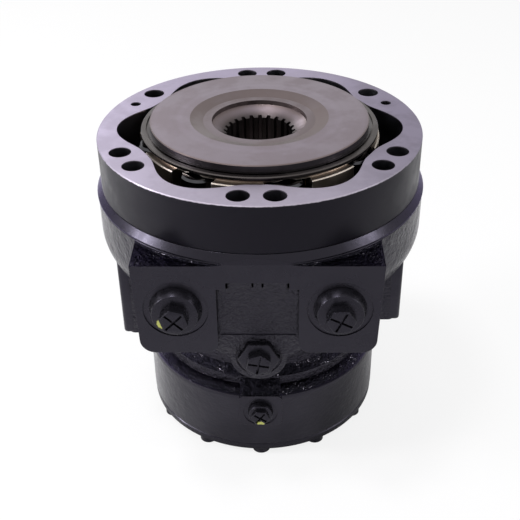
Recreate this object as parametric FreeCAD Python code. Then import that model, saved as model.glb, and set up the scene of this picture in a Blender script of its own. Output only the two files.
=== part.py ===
"""Hydraulic drive motor: radial pistons in a cam ring, with a multi-disc brake behind.

Millimetres. The origin is the centre of the cam ring's mounting face, +Z points out
of that face along the motor's axis, and the oil ports face -Y.
"""
import FreeCAD
import Part
import math
import os

from FreeCAD import Placement, Rotation, Vector

# Fits and small clearances
running_clearance = 0.04
seat_clearance = 0.05
loose_clearance = 0.3
seal_groove_play = 0.2
edge_break = 0.6
tooth_flank_share = 0.3
quarter_arc_share = 1 - math.sqrt(0.5)

# How far the cutting tools run past the surfaces that they open
overrun = 1.0
long_overrun = 30.0

# Cam ring
ring_radius = 112.5
ring_height = 34.0
lobe_count = 6
lobe_sharpness = 1.5
lobe_points = 16
tangent_step = 0.05
crest_radius = 85.5
piston_stroke = 14.0
stud_circle_radius = 100.0
stud_pair_half_angle = 6.5
stud_pair_spacing = 60.0
first_stud_pair_angle = -90.0
ring_stud_hole_radius = 7.5
housing_stud_hole_radius = 7.1
housing_stud_hole_depth = 30.0
dowel_hole_radius = 3.75
dowel_hole_angles = (23.5, 156.5)
dowel_hole_depth_in_housing = 12.0
ring_pin_radius = 3.0
ring_pin_length = 20.0
ring_pin_circle_radius = 106.0
ring_pin_angles = (0.0, 180.0)
ring_seal_radius = 110.0
ring_seal_cord_radius = 0.9

# Cylinder block
bore_count = 8
first_bore_angle = 14.0
bore_radius = 15.0
bore_depth_radius = 42.0
bore_height = -16.5
slot_half_width = 15.3
slot_inner_radius = 62.0
slot_floor_clearance = 2.0
block_stand_out = 8.0
block_face_radius = 75.75
block_shoulder_radius = 78.0
block_rim_radius = 83.2
block_rim_drop = 2.8
block_rim_height = 33.0
block_foot_radius = 72.0
block_foot_height = 8.2
dish_outer_radius = 48.0
dish_inner_radius = 39.0
dish_depth = 2.5
pilot_radius = 33.0
pilot_depth = 3.2
socket_cone_radius = 25.6
socket_cone_depth = 4.3
socket_chamfer_depth = 1.6
spline_teeth = 24
spline_root_radius = 23.0
spline_tip_radius = 25.0
spline_tooth_share = 0.5
feed_hole_radius = 3.5
feed_circle_radius = 45.5

# Guide ring and retaining ring on the block
guide_ring_radius = 82.0
guide_ring_height = 2.8
guide_ring_seat_height = 0.2
guide_ring_step_radius = 78.6
guide_ring_step_depth = 1.1
retaining_ring_inner_radius = 74.6
retaining_ring_outer_radius = 77.4
retaining_ring_height = 1.5
retaining_ring_gap_degrees = 12.0
retaining_ring_gap_angle = 84.0

# Pistons and rollers
roller_radius = 12.5
roller_length = 26.0
roller_chamfer = 1.4
roller_rest_clearance = 0.8
bush_wall = 1.1
bush_length = 24.0
piston_lip = 3.0
piston_bottom_clearance = 0.8
piston_ring_width = 2.0
piston_ring_depth = 1.8
piston_ring_setback = 2.4
piston_feed_radius = 1.5
piston_dish_radius = 9.0
piston_dish_depth = 4.0

# Oil distributor
distributor_step_radii = (58.0, 54.0, 50.0)
distributor_step_heights = (16.0, 18.0, 20.0)
distributor_hole_radius = 25.6
distributor_floor_gap = 4.0
gallery_depths = (4.0, 4.0)
gallery_offsets = (3.0, 3.0)
gallery_height = 8.0
distributor_port_radius = 3.2
distributor_cross_radius = 2.6
distributor_seal_width = 3.0
distributor_seal_depth = 2.4
distributor_seal_offset = 5.0
wave_spring_inner_radius = 36.5
wave_spring_outer_radius = 46.0
wave_spring_thickness = 1.4
distributor_pin_radius = 3.0
distributor_pin_circle_radius = 30.5
distributor_pin_angle = 100.0
distributor_pin_grip = 6.0

# Rear housing casting
shoulder_radius = 116.0
shoulder_height = 5.0
machined_band_height = 1.2
cast_radius = 115.5
cast_side_height = 30.0
bowl_radius = 100.0
bowl_depth = 29.0
bowl_bulge = 4.0
bowl_bulge_drop = 2.0
waist_radius = 74.0
waist_top_depth = 118.0
waist_bottom_depth = 154.0
ridge_radius = 79.5
ridge_depth = 160.0
brake_housing_radius = 88.3
brake_shoulder_depth = 166.0
brake_shoulder_round = 8.0
joint_depth = 217.7
block_recess_radius = 88.0
block_recess_clearance = 3.0
seal_groove_width = 2.2

# Port block on the front of the housing
port_face = 114.0
port_block_half_width = 79.5
port_block_foot_half_width = 77.0
port_block_top_depth = 41.7
port_block_bottom_depth = 109.4
port_block_corner_round = 10.0
port_block_back = 40.0
recess_half_width = 26.2
recess_top_depth = 54.3
recess_step_depth = 59.3
recess_step_half_width = 19.4
recess_bottom_depth = 99.0
recess_cut = 4.0
recess_edge_round = 3.0
recess_slit_places = (-19.4, -3.2, 3.2, 19.4)
recess_slit_width = 1.2
recess_slit_height = 5.8
recess_slit_cut = 8.0
shelf_cut = 3.5
leg_corner_round = 8.0
port_spacing = 105.0
port_depth = 75.0
port_bore_radius = 12.5
port_bore_length = 26.0
port_spotface_radius = 20.85
port_spotface_depth = 0.8
gallery_drill_radius = 7.0
gallery_drill_overlap = 4.0
gallery_drill_side_angle = 38.0
gallery_drill_entry = 3.0
cove_size = 2.6

# Drain port boss below the port block
drain_depth = 116.0
drain_boss_radius = 18.8
drain_boss_root = 10.0
drain_web_half_width = 38.5
drain_web_top_depth = 103.0
drain_spotface_radius = 15.2
drain_spotface_depth = 0.5
drain_bore_radius = 8.3
drain_bore_length = 18.0
drain_drill_radius = 3.0
drain_drill_drop = 22.0
drain_drill_entry = 3.0

# Side lugs that carry the speed spool
lug_half_width = 100.0
lug_inner_half_width = 60.0
lug_front = 53.0
lug_back = 12.0
left_lug_bottom_depth = 140.0
right_lug_bottom_depth = 128.0
lug_top_depth = 70.0
lug_round = 8.0
spool_front = 36.5
spool_roof = 6.0
spool_radius = 8.0
spool_neck_radius = 5.6
spool_length = 142.0
spool_travel = 8.0
spool_land_length = 16.0
spool_land_count = 4
spool_spring_wire_radius = 0.9
spool_spring_radius = 5.6
spool_spring_turns = 5
end_plug_length = 16.0
end_plug_flange_radius = 13.0
end_plug_flange_height = 4.0
end_plug_spotface_radius = 14.0
end_plug_spotface_depth = 0.6
end_plug_socket_flats = 8.0
end_plug_socket_depth = 6.0

# Brake
brake_port_depth = 184.0
brake_port_face = 90.0
brake_boss_root = 8.0
brake_boss_half_width = 15.6
brake_boss_top_depth = 169.0
brake_boss_bottom_depth = 196.2
brake_boss_round = 4.0
brake_port_spotface_radius = 12.3
brake_port_spotface_depth = 0.6
brake_port_bore_radius = 6.0
brake_port_bore_length = 13.0
brake_port_drill_radius = 1.6
brake_port_drill_entry = 2.0
brake_bore_radius = 72.0
brake_neck_radius = 66.0
brake_bore_depth = 189.0
disc_thickness = 2.0
friction_disc_count = 6
disc_pack_radius = 62.0
disc_pack_top_depth = 146.0
plate_tab_count = 8
plate_tab_radius = 65.5
plate_tab_half_width = 6.0
plate_tab_root = 8.0
plate_inner_radius = 40.5
friction_outer_radius = 59.5
hub_teeth = 16
hub_root_radius = 34.0
hub_tip_radius = 36.5
shaft_radius = 20.0
shaft_spline_length = 19.0
shaft_spline_gap = 1.0
brake_piston_flange_height = 16.0
brake_piston_chamber = 2.0
brake_piston_press_inner_radius = 44.0
brake_piston_dish_depth = 4.0
brake_travel = 1.5
piston_seal_width = 3.0
piston_seal_depth = 2.6
disc_spring_inner_radius = 40.0
disc_spring_outer_radius = 68.0
disc_spring_thickness = 3.5

# Brake cover
cover_thickness = 5.3
joint_edge_break = 1.0
cover_spigot_height = 4.0
cover_spigot_inner_radius = 60.0
cover_seal_radius = 74.0
cover_seal_cord_radius = 0.9
screw_count = 12
screw_circle_radius = 80.8
screw_radius = 4.0
screw_length = 22.0
screw_head_radius = 6.6
screw_head_height = 5.0
screw_socket_flats = 6.0
screw_socket_depth = 3.0

# Transit plugs in the ports
main_plug_flange_radius = 17.2
main_plug_flange_height = 9.3
main_plug_hex_flats = 16.4
main_plug_hex_height = 5.5
drain_plug_flange_flats = 25.0
drain_plug_flange_height = 4.0
drain_plug_crown_inset = 0.6
drain_plug_hex_flats = 14.9
drain_plug_hex_height = 6.0
brake_plug_flange_radius = 9.2
brake_plug_flange_height = 4.3
brake_plug_hex_flats = 11.5
brake_plug_hex_height = 3.3
plug_shank_share = 0.7
plug_cross_width = 1.35
plug_cross_depth = 2.2
plug_cross_inset = 0.4
plug_cross_angles = (30.0, 120.0)
left_plug_turn = -74.0
right_plug_turn = -56.0
drain_plug_turn = -40.0
brake_plug_turn = -64.0

# Places worked out from the sizes above
ring_bottom = -ring_height
block_top = block_stand_out
rim_top = -block_rim_drop
rim_bottom = rim_top - block_rim_height
valve_face = rim_bottom - block_foot_height
roller_crest_centre = crest_radius - roller_radius
roller_rest_radius = roller_crest_centre - roller_rest_clearance
bush_outer_radius = roller_radius + seat_clearance + bush_wall
cradle_radius = bush_outer_radius + seat_clearance
piston_radius = bore_radius - running_clearance
piston_foot_radius = bore_depth_radius + piston_bottom_clearance
distributor_bottom = valve_face - sum(distributor_step_heights)
distributor_floor = distributor_bottom - distributor_floor_gap
shaft_passage_radius = distributor_hole_radius
disc_count = 2 * friction_disc_count + 1
disc_pack_top = -disc_pack_top_depth
disc_pack_bottom = disc_pack_top - disc_count * disc_thickness
joint_face = -joint_depth
cover_bottom = joint_face - cover_thickness
foot = cover_bottom - screw_head_height
spigot_top = joint_face + cover_spigot_height
brake_bore_top = -brake_bore_depth
piston_flange_top = brake_bore_top - brake_piston_chamber
piston_flange_bottom = piston_flange_top - brake_piston_flange_height
port_x = port_spacing / 2
drain_face = -port_face + shelf_cut
drain_seat = drain_face + drain_spotface_depth
spool_depth = spool_radius + spool_roof - distributor_floor
spool_bore_radius = spool_radius + running_clearance
left_end_plug_tip = -lug_half_width + end_plug_length
right_end_plug_tip = lug_half_width - end_plug_length
spool_right = right_end_plug_tip - seat_clearance
spool_left = spool_right - spool_length
bore_angles = [first_bore_angle + 360.0 / bore_count * i for i in range(bore_count)]


def polar(radius, degrees, height=0.0):
    """Point at a radius and an angle about the motor's axis."""
    turn = math.radians(degrees)
    return Vector(radius * math.cos(turn), radius * math.sin(turn), height)


def turned(start, *steps):
    """Solid of revolution about Z. A step is a point (r, z) or an arc (mid, end)."""
    edges = []
    here = start
    for step in steps + (start,):
        if isinstance(step[0], tuple):
            middle, there = step
            arc = Part.Arc(section(here), section(middle), section(there))
            edges.append(arc.toShape())
        else:
            there = step
            edges.append(Part.LineSegment(section(here), section(there)).toShape())
        here = there
    face = Part.Face(Part.Wire(edges))
    return face.revolve(Vector(0, 0, 0), Vector(0, 0, 1), 360)


def section(point):
    """Point (r, z) of a turned profile in the XZ plane."""
    return Vector(point[0], 0, point[1])


def disc(radius, bottom, top, centre=(0.0, 0.0)):
    """Upright cylinder between two heights."""
    return Part.makeCylinder(radius, top - bottom, Vector(centre[0], centre[1], bottom))


def washer(inner, outer, bottom, top):
    """Flat ring between two heights."""
    return disc(outer, bottom, top).cut(disc(inner, bottom - overrun, top + overrun))


def drilled(start, end, radius):
    """Round bar from one point to another, used as a drill."""
    way = end - start
    return Part.makeCylinder(radius, way.Length, start, way)


def block(x_range, y_range, z_range):
    """Box between limits on each axis."""
    corner = Vector(x_range[0], y_range[0], z_range[0])
    spans = [high - low for low, high in (x_range, y_range, z_range)]
    return Part.makeBox(spans[0], spans[1], spans[2], corner)


def turn_copy(shape, degrees):
    """Copy of a shape turned about the motor's axis."""
    copy = shape.copy()
    copy.rotate(Vector(0, 0, 0), Vector(0, 0, 1), degrees)
    return copy


def hexagon(flats, bottom, top):
    """Upright hexagonal prism with a corner on the X axis."""
    corner_radius = flats / math.sqrt(3)
    corners = [polar(corner_radius, 60 * i, bottom) for i in range(7)]
    face = Part.Face(Part.makePolygon(corners))
    return face.extrude(Vector(0, 0, top - bottom))


def toothed(teeth, root, tip, bottom, top, tip_share, allowance=0.0):
    """Straight-sided toothed bar: external teeth between a root and a tip radius."""
    pitch = 360.0 / teeth
    trim = math.degrees(allowance / tip)
    half_tip = pitch * tip_share / 2 * (1 - tooth_flank_share) - trim
    half_root = pitch * tip_share / 2 * (1 + tooth_flank_share) - trim
    corners = []
    for i in range(teeth):
        middle = pitch * i
        corners.append(polar(root, middle - half_root, bottom))
        corners.append(polar(tip, middle - half_tip, bottom))
        corners.append(polar(tip, middle + half_tip, bottom))
        corners.append(polar(root, middle + half_root, bottom))
    face = Part.Face(Part.makePolygon(corners + corners[:1]))
    return face.extrude(Vector(0, 0, top - bottom))


def rounded(shape, radius, chosen):
    """Fillet the edges whose middle point passes the test."""
    edges = [e for e in shape.Edges if chosen(e.CenterOfMass)]
    return shape.makeFillet(radius, edges)


def facing_front(shape, x, y, z):
    """Place a shape built along +Z so that it points to the front."""
    placed = shape.copy()
    placed.rotate(Vector(0, 0, 0), Vector(1, 0, 0), 90)
    placed.translate(Vector(x, y, z))
    return placed


def save(name, *solids):
    """Write one named piece, or one group of like pieces."""
    shape = solids[0] if len(solids) == 1 else Part.makeCompound(list(solids))
    shape.exportStep("parts/" + name + ".step")


# Cam ring
def lift(degrees):
    """Share of the stroke that the cam gives at an angle: 1 in a valley, 0 on a crest."""
    wave = (1 + math.cos(math.radians(lobe_count * degrees))) / 2
    return wave ** lobe_sharpness


def roller_path(degrees):
    """Centre of a roller that touches the cam at an angle."""
    return polar(roller_crest_centre + piston_stroke * lift(degrees), degrees)


def cam_outline():
    """Inner wall of the ring: the roller's path moved out by the roller's radius."""
    step = 360.0 / (lobe_count * lobe_points)
    points = []
    for i in range(lobe_count * lobe_points):
        angle = step * i
        along = roller_path(angle + tangent_step) - roller_path(angle - tangent_step)
        outward = Vector(along.y, -along.x, 0).normalize()
        points.append(roller_path(angle) + outward * roller_radius)
    curve = Part.BSplineCurve()
    curve.interpolate(points, PeriodicFlag=True)
    return Part.Wire(curve.toShape())


def stud_angles():
    """Angles of the twelve places on the stud circle."""
    pairs = [first_stud_pair_angle + stud_pair_spacing * i for i in range(lobe_count)]
    return [pair + side for pair in pairs for side in (-stud_pair_half_angle, stud_pair_half_angle)]


def stud_hole_angles():
    """Angles of the large holes: every place but the two small dowel holes."""
    small = [angle % 360 for angle in dowel_hole_angles]
    return [a for a in stud_angles() if all(abs(a % 360 - s) > 1 for s in small)]


def cam_ring():
    """Ring with the wavy cam track inside and the stud and dowel holes through it."""
    opening = Part.Face(cam_outline()).extrude(Vector(0, 0, ring_height + 2 * overrun))
    opening.translate(Vector(0, 0, ring_bottom - overrun))
    body = turned(
        (0, ring_bottom),
        (ring_radius - edge_break, ring_bottom),
        (ring_radius, ring_bottom + edge_break),
        (ring_radius, -edge_break),
        (ring_radius - edge_break, 0),
        (0, 0),
    )
    holes = [opening]
    for angle in stud_hole_angles():
        place = polar(stud_circle_radius, angle)
        holes.append(disc(ring_stud_hole_radius, ring_bottom - overrun, overrun, place[:2]))
    for angle in dowel_hole_angles:
        place = polar(stud_circle_radius, angle)
        holes.append(disc(dowel_hole_radius, ring_bottom - overrun, overrun, place[:2]))
    pin_hole_radius = ring_pin_radius + seat_clearance
    pin_top = ring_bottom + ring_pin_length / 2 + loose_clearance
    for angle in ring_pin_angles:
        place = polar(ring_pin_circle_radius, angle)
        holes.append(disc(pin_hole_radius, ring_bottom - overrun, pin_top, place[:2]))
    return body.cut(holes)


def ring_pins():
    """Two pins that line the ring up with the housing."""
    low = ring_bottom - ring_pin_length / 2
    places = [polar(ring_pin_circle_radius, angle) for angle in ring_pin_angles]
    return [disc(ring_pin_radius, low, low + ring_pin_length, place[:2]) for place in places]


def seal_cord(radius, cord_radius, height):
    """Round seal cord."""
    return Part.makeTorus(radius, cord_radius, Vector(0, 0, height))


# Cylinder block and what sits on it
def radial_bore():
    """Tool for one piston bore with the open roller slot at its mouth, along +X."""
    reach = block_rim_radius + long_overrun
    bore = Part.makeCylinder(
        bore_radius,
        reach - bore_depth_radius,
        Vector(bore_depth_radius, 0, bore_height),
        Vector(1, 0, 0),
    )
    slot_bottom = rim_top - roller_length - slot_floor_clearance
    slot = block(
        (slot_inner_radius, reach),
        (-slot_half_width, slot_half_width),
        (slot_bottom, rim_top),
    )
    feed = disc(feed_hole_radius, valve_face - overrun, bore_height, (feed_circle_radius, 0))
    return bore.fuse([slot, feed])


def cylinder_block():
    """Turned block with radial bores, a dished face and a splined socket."""
    dish_floor = block_top - dish_depth
    pilot_floor = dish_floor - pilot_depth
    cone_floor = pilot_floor - socket_cone_depth
    spline_top = cone_floor - socket_chamfer_depth
    ring_groove = guide_ring_seat_height + guide_ring_height - guide_ring_step_depth
    groove_top = ring_groove + retaining_ring_height + seat_clearance
    groove_radius = retaining_ring_inner_radius - seat_clearance
    body = turned(
        (spline_root_radius, valve_face + socket_chamfer_depth),
        (spline_root_radius + socket_chamfer_depth, valve_face),
        (block_foot_radius, valve_face),
        (block_foot_radius, rim_bottom - block_foot_height / 2),
        (block_rim_radius, rim_bottom),
        (block_rim_radius, rim_top - edge_break),
        (block_rim_radius - edge_break, rim_top),
        (block_shoulder_radius, rim_top),
        (block_shoulder_radius, guide_ring_seat_height),
        (block_face_radius, guide_ring_seat_height),
        (block_face_radius, ring_groove),
        (groove_radius, ring_groove),
        (groove_radius, groove_top),
        (block_face_radius, groove_top),
        (block_face_radius, block_top - edge_break),
        (block_face_radius - edge_break, block_top),
        (dish_outer_radius, block_top),
        (dish_inner_radius, dish_floor),
        (pilot_radius, dish_floor),
        (pilot_radius, pilot_floor),
        (socket_cone_radius, cone_floor),
        (spline_root_radius, spline_top),
    )
    cuts = [turn_copy(radial_bore(), angle) for angle in bore_angles]
    tooth_spaces = toothed(
        spline_teeth,
        spline_root_radius - overrun,
        spline_tip_radius,
        valve_face - overrun,
        cone_floor + overrun,
        spline_tooth_share,
    )
    cuts.append(tooth_spaces)
    return body.cut(cuts)


def guide_ring():
    """Stepped ring on the block's shoulder that guides the roller ends."""
    bottom = guide_ring_seat_height
    top = bottom + guide_ring_height
    step = top - guide_ring_step_depth
    return turned(
        (block_face_radius + seat_clearance, bottom),
        (guide_ring_radius - edge_break, bottom),
        (guide_ring_radius, bottom + edge_break),
        (guide_ring_radius, top - edge_break),
        (guide_ring_radius - edge_break, top),
        (guide_ring_step_radius, top),
        (guide_ring_step_radius, step),
        (block_face_radius + seat_clearance, step),
    )


def retaining_ring():
    """Split spring ring in the block's groove, on the guide ring's step."""
    bottom = guide_ring_seat_height + guide_ring_height - guide_ring_step_depth
    ring = washer(
        retaining_ring_inner_radius,
        retaining_ring_outer_radius,
        bottom,
        bottom + retaining_ring_height,
    )
    half_gap = retaining_ring_outer_radius * math.radians(retaining_ring_gap_degrees) / 2
    gap = block(
        (retaining_ring_inner_radius - half_gap, retaining_ring_outer_radius + half_gap),
        (-half_gap, half_gap),
        (bottom - overrun, bottom + retaining_ring_height + overrun),
    )
    return ring.cut(turn_copy(gap, retaining_ring_gap_angle))


# Pistons, bushes, rings and rollers, built along +X and turned to their bores
def along_x(radius, start, end):
    """Round bar along +X at the height of the piston bores."""
    return Part.makeCylinder(radius, end - start, Vector(start, 0, bore_height), Vector(1, 0, 0))


def piston():
    """Round piston with a ring groove, a dished foot and a cradle for the roller."""
    lip = roller_rest_radius + piston_lip
    body = along_x(piston_radius, piston_foot_radius, lip)
    foot_edge = [e for e in body.Edges if abs(e.CenterOfMass.x - piston_foot_radius) < 0.01]
    body = body.makeChamfer(edge_break, foot_edge)
    groove_start = piston_foot_radius + piston_ring_setback
    groove_end = groove_start + piston_ring_width + 2 * seat_clearance
    groove_floor = piston_radius - piston_ring_depth - 2 * seat_clearance
    groove = along_x(bore_radius + overrun, groove_start, groove_end).cut(
        along_x(groove_floor, groove_start, groove_end)
    )
    half = roller_length
    centre = (roller_rest_radius, 0)
    cradle = disc(cradle_radius, bore_height - half, bore_height + half, centre)
    dish_end = piston_foot_radius + piston_dish_depth
    dish = along_x(piston_dish_radius, piston_foot_radius - overrun, dish_end)
    feed = along_x(piston_feed_radius, piston_foot_radius, roller_rest_radius)
    return body.cut([groove, cradle, dish, feed])


def piston_ring():
    """Seal ring in the piston's groove."""
    start = piston_foot_radius + piston_ring_setback + seat_clearance
    end = start + piston_ring_width
    outer = bore_radius - running_clearance / 2
    inside = along_x(piston_radius - piston_ring_depth, start - overrun, end + overrun)
    return along_x(outer, start, end).cut(inside)


def roller_bush():
    """Half-round bearing shell between the piston's cradle and the roller."""
    low = bore_height - bush_length / 2
    high = bore_height + bush_length / 2
    centre = (roller_rest_radius, 0)
    shell = disc(bush_outer_radius, low, high, centre)
    inside = disc(roller_radius + seat_clearance, low - overrun, high + overrun, centre)
    outer_half = block(
        (roller_rest_radius, roller_rest_radius + cradle_radius),
        (-cradle_radius, cradle_radius),
        (low - overrun, high + overrun),
    )
    feed = along_x(piston_feed_radius, piston_foot_radius, roller_rest_radius)
    return shell.cut([inside, outer_half, feed])


def roller():
    """Cam roller with chamfered ends."""
    half = roller_length / 2
    inner = roller_radius - roller_chamfer
    body = turned(
        (0, -half),
        (inner, -half),
        (roller_radius, -half + roller_chamfer),
        (roller_radius, half - roller_chamfer),
        (inner, half),
        (0, half),
    )
    body.translate(Vector(roller_rest_radius, 0, bore_height))
    return body


# Oil distributor
def distributor_steps():
    """Top, bottom and radius of each step, from the valve face down."""
    steps = []
    top = valve_face
    for radius, height in zip(distributor_step_radii, distributor_step_heights):
        steps.append((top, top - height, radius))
        top -= height
    return steps


def gallery_levels():
    """Height of the middle of each ring-shaped oil gallery."""
    steps = distributor_steps()[1:]
    return [top - offset - gallery_height / 2 for (top, _, _), offset in zip(steps, gallery_offsets)]


def groove_ring(radius, depth, middle, height):
    """Tool for a square groove round a cylinder."""
    return washer(radius - depth, radius + overrun, middle - height / 2, middle + height / 2)


def flow_distributor():
    """Stepped oil distributor with two ring galleries and a port for each cam flank."""
    steps = distributor_steps()
    body = disc(steps[0][2], steps[0][1], steps[0][0])
    for top, bottom, radius in steps[1:]:
        body = body.fuse(disc(radius, bottom, top))
    seal_groove = distributor_seal_width + seal_groove_play
    cuts = [disc(distributor_hole_radius, distributor_bottom - overrun, valve_face + overrun)]
    for (_, _, radius), depth, level in zip(steps[1:], gallery_depths, gallery_levels()):
        cuts.append(groove_ring(radius, depth, level, gallery_height))
    for _, bottom, radius in steps:
        middle = bottom + distributor_seal_offset
        cuts.append(groove_ring(radius, distributor_seal_depth, middle, seal_groove))
    upper, lower = gallery_levels()
    for i in range(2 * lobe_count):
        angle = 180.0 / lobe_count * (i + 0.5)
        level = upper if i % 2 else lower
        place = polar(feed_circle_radius, angle)
        cuts.append(disc(distributor_port_radius, level, valve_face + overrun, place[:2]))
        reach = polar(steps[1][2] + overrun, angle, level)
        start = polar(feed_circle_radius, angle, level)
        cuts.append(drilled(start, reach, distributor_cross_radius))
    pin = polar(distributor_pin_circle_radius, distributor_pin_angle)
    pin_hole_radius = distributor_pin_radius + seat_clearance
    pin_top = distributor_bottom + distributor_pin_grip + loose_clearance
    cuts.append(disc(pin_hole_radius, distributor_bottom - overrun, pin_top, pin[:2]))
    return body.cut(cuts)


def distributor_seals():
    """One seal ring on each step of the distributor."""
    seals = []
    for _, bottom, radius in distributor_steps():
        middle = bottom + distributor_seal_offset
        low = middle - distributor_seal_width / 2
        inner = radius - distributor_seal_depth + seat_clearance
        seals.append(washer(inner, radius + seat_clearance / 2, low, low + distributor_seal_width))
    return seals


def cone_washer(inner, outer, low, high, thickness):
    """Dished spring washer: the inner edge is high and the outer edge low."""
    return turned(
        (inner, high - thickness),
        (inner, high),
        (outer, low + thickness),
        (outer, low),
    )


def distributor_pin():
    """Pin that stops the distributor turning in the housing."""
    low = distributor_floor - distributor_pin_grip
    place = polar(distributor_pin_circle_radius, distributor_pin_angle)
    return disc(distributor_pin_radius, low, distributor_bottom + distributor_pin_grip, place[:2])


# Rear housing
def housing_body():
    """Turned outside of the casting, from the ring seat down to the cover joint."""
    cast_top = ring_bottom - shoulder_height - machined_band_height
    cast_bottom = ring_bottom - cast_side_height
    bowl_bottom = cast_bottom - bowl_depth
    bowl_middle = (
        (cast_radius + bowl_radius) / 2 + bowl_bulge,
        cast_bottom - bowl_depth / 2 - bowl_bulge_drop,
    )
    shoulder_inset = brake_shoulder_round * quarter_arc_share
    shoulder_middle = (
        brake_housing_radius - shoulder_inset,
        -brake_shoulder_depth - shoulder_inset,
    )
    shoulder_inner = brake_housing_radius - brake_shoulder_round
    return turned(
        (0, joint_face),
        (brake_housing_radius - joint_edge_break, joint_face),
        (brake_housing_radius, joint_face + joint_edge_break),
        (brake_housing_radius, -brake_shoulder_depth - brake_shoulder_round),
        (shoulder_middle, (shoulder_inner, -brake_shoulder_depth)),
        (ridge_radius, -ridge_depth),
        (waist_radius, -waist_bottom_depth),
        (waist_radius, -waist_top_depth),
        (bowl_radius, bowl_bottom),
        (bowl_middle, (cast_radius, cast_bottom)),
        (cast_radius, cast_top),
        (shoulder_radius, cast_top + machined_band_height / 2),
        (shoulder_radius, ring_bottom - shoulder_height),
        (ring_radius, ring_bottom),
        (0, ring_bottom),
    )


def port_block():
    """Flat-faced block on the front with rounded lower corners."""
    top = -port_block_top_depth
    bottom = -port_block_bottom_depth
    corners = [
        Vector(-port_block_foot_half_width, -port_face, bottom),
        Vector(port_block_foot_half_width, -port_face, bottom),
        Vector(port_block_half_width, -port_face, top),
        Vector(-port_block_half_width, -port_face, top),
    ]
    face = Part.Face(Part.makePolygon(corners + corners[:1]))
    body = face.extrude(Vector(0, port_face - port_block_back, 0))
    corner_x = (port_block_foot_half_width + port_block_half_width - port_block_corner_round) / 2
    return rounded(
        body,
        port_block_corner_round,
        lambda p: abs(p.z - bottom) < seat_clearance and abs(p.x) > corner_x,
    )


def recess_pocket(half_width, top_depth):
    """Tool for a shallow pocket in the port face with its floor rounded into its sides."""
    floor = -port_face + recess_cut
    pocket = block(
        (-half_width, half_width),
        (-port_face - overrun, floor),
        (-recess_bottom_depth, -top_depth),
    )
    return rounded(pocket, recess_edge_round, lambda p: p.y > floor - seat_clearance)


def front_recess():
    """Tools for the cast recess, its slits and the shelf that runs down to the drain port."""
    foot_height = -port_block_bottom_depth
    shelf_depths = (-port_face - overrun, drain_face)
    cuts = [
        recess_pocket(recess_step_half_width, recess_top_depth),
        recess_pocket(recess_half_width, recess_step_depth),
        block(
            (-recess_half_width, recess_half_width),
            shelf_depths,
            (foot_height - overrun, -recess_bottom_depth + recess_edge_round),
        ),
    ]
    for side in (-1, 1):
        x_range = sorted((side * recess_half_width, side * (recess_half_width + leg_corner_round)))
        corner = block(
            x_range,
            shelf_depths,
            (foot_height - overrun, foot_height + leg_corner_round),
        )
        centre = Vector(
            side * (recess_half_width + leg_corner_round),
            -port_face - 2 * overrun,
            foot_height + leg_corner_round,
        )
        leg = Part.makeCylinder(
            leg_corner_round, shelf_cut + 4 * overrun, centre, Vector(0, 1, 0)
        )
        cuts.append(corner.cut(leg))
    for x in recess_slit_places:
        slit = block(
            (x - recess_slit_width / 2, x + recess_slit_width / 2),
            (-port_face - overrun, -port_face + recess_slit_cut),
            (-recess_top_depth - recess_slit_height, -recess_top_depth),
        )
        cuts.append(slit)
    return cuts


def block_cove():
    """Cast fillet where the top of the port block meets the round flange."""
    foot_height = -port_block_top_depth
    inset = cove_size * quarter_arc_share
    cove = turned(
        (cast_radius - overrun, foot_height - overrun),
        (cast_radius + cove_size, foot_height - overrun),
        (cast_radius + cove_size, foot_height),
        ((cast_radius + inset, foot_height + inset), (cast_radius, foot_height + cove_size)),
        (cast_radius - overrun, foot_height + cove_size),
    )
    zone = block(
        (-port_block_half_width, port_block_half_width),
        (-port_face, -port_block_back),
        (foot_height - overrun, foot_height + cove_size),
    )
    return cove.common(zone)


def drain_boss():
    """Round boss for the drain port, joined to the port block by a web."""
    front = drain_face
    length = -drain_face - waist_radius + drain_boss_root
    boss = Part.makeCylinder(
        drain_boss_radius, length, Vector(0, front, -drain_depth), Vector(0, 1, 0)
    )
    corners = [
        Vector(-drain_web_half_width, front, -drain_web_top_depth),
        Vector(drain_web_half_width, front, -drain_web_top_depth),
        Vector(drain_boss_radius, front, -drain_depth),
        Vector(-drain_boss_radius, front, -drain_depth),
    ]
    web = Part.Face(Part.makePolygon(corners + corners[:1])).extrude(Vector(0, length, 0))
    return boss.fuse(web)


def side_lug(side, bottom_depth):
    """Side boss of the casting that holds one end of the speed spool."""
    x_range = sorted((side * lug_inner_half_width, side * lug_half_width))
    body = block(x_range, (-lug_front, -lug_back), (-bottom_depth, -lug_top_depth))
    face_x = side * lug_half_width
    return rounded(
        body,
        lug_round,
        lambda p: abs(p.x - face_x) < seat_clearance and p.z < -lug_top_depth - seat_clearance,
    )


def brake_boss():
    """Square boss for the brake port."""
    back = -brake_neck_radius - brake_boss_root
    body = block(
        (-brake_boss_half_width, brake_boss_half_width),
        (-brake_port_face, back),
        (-brake_boss_bottom_depth, -brake_boss_top_depth),
    )
    along_y = (back - brake_port_face) / 2
    return rounded(body, brake_boss_round, lambda p: abs(p.y - along_y) < seat_clearance)


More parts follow.
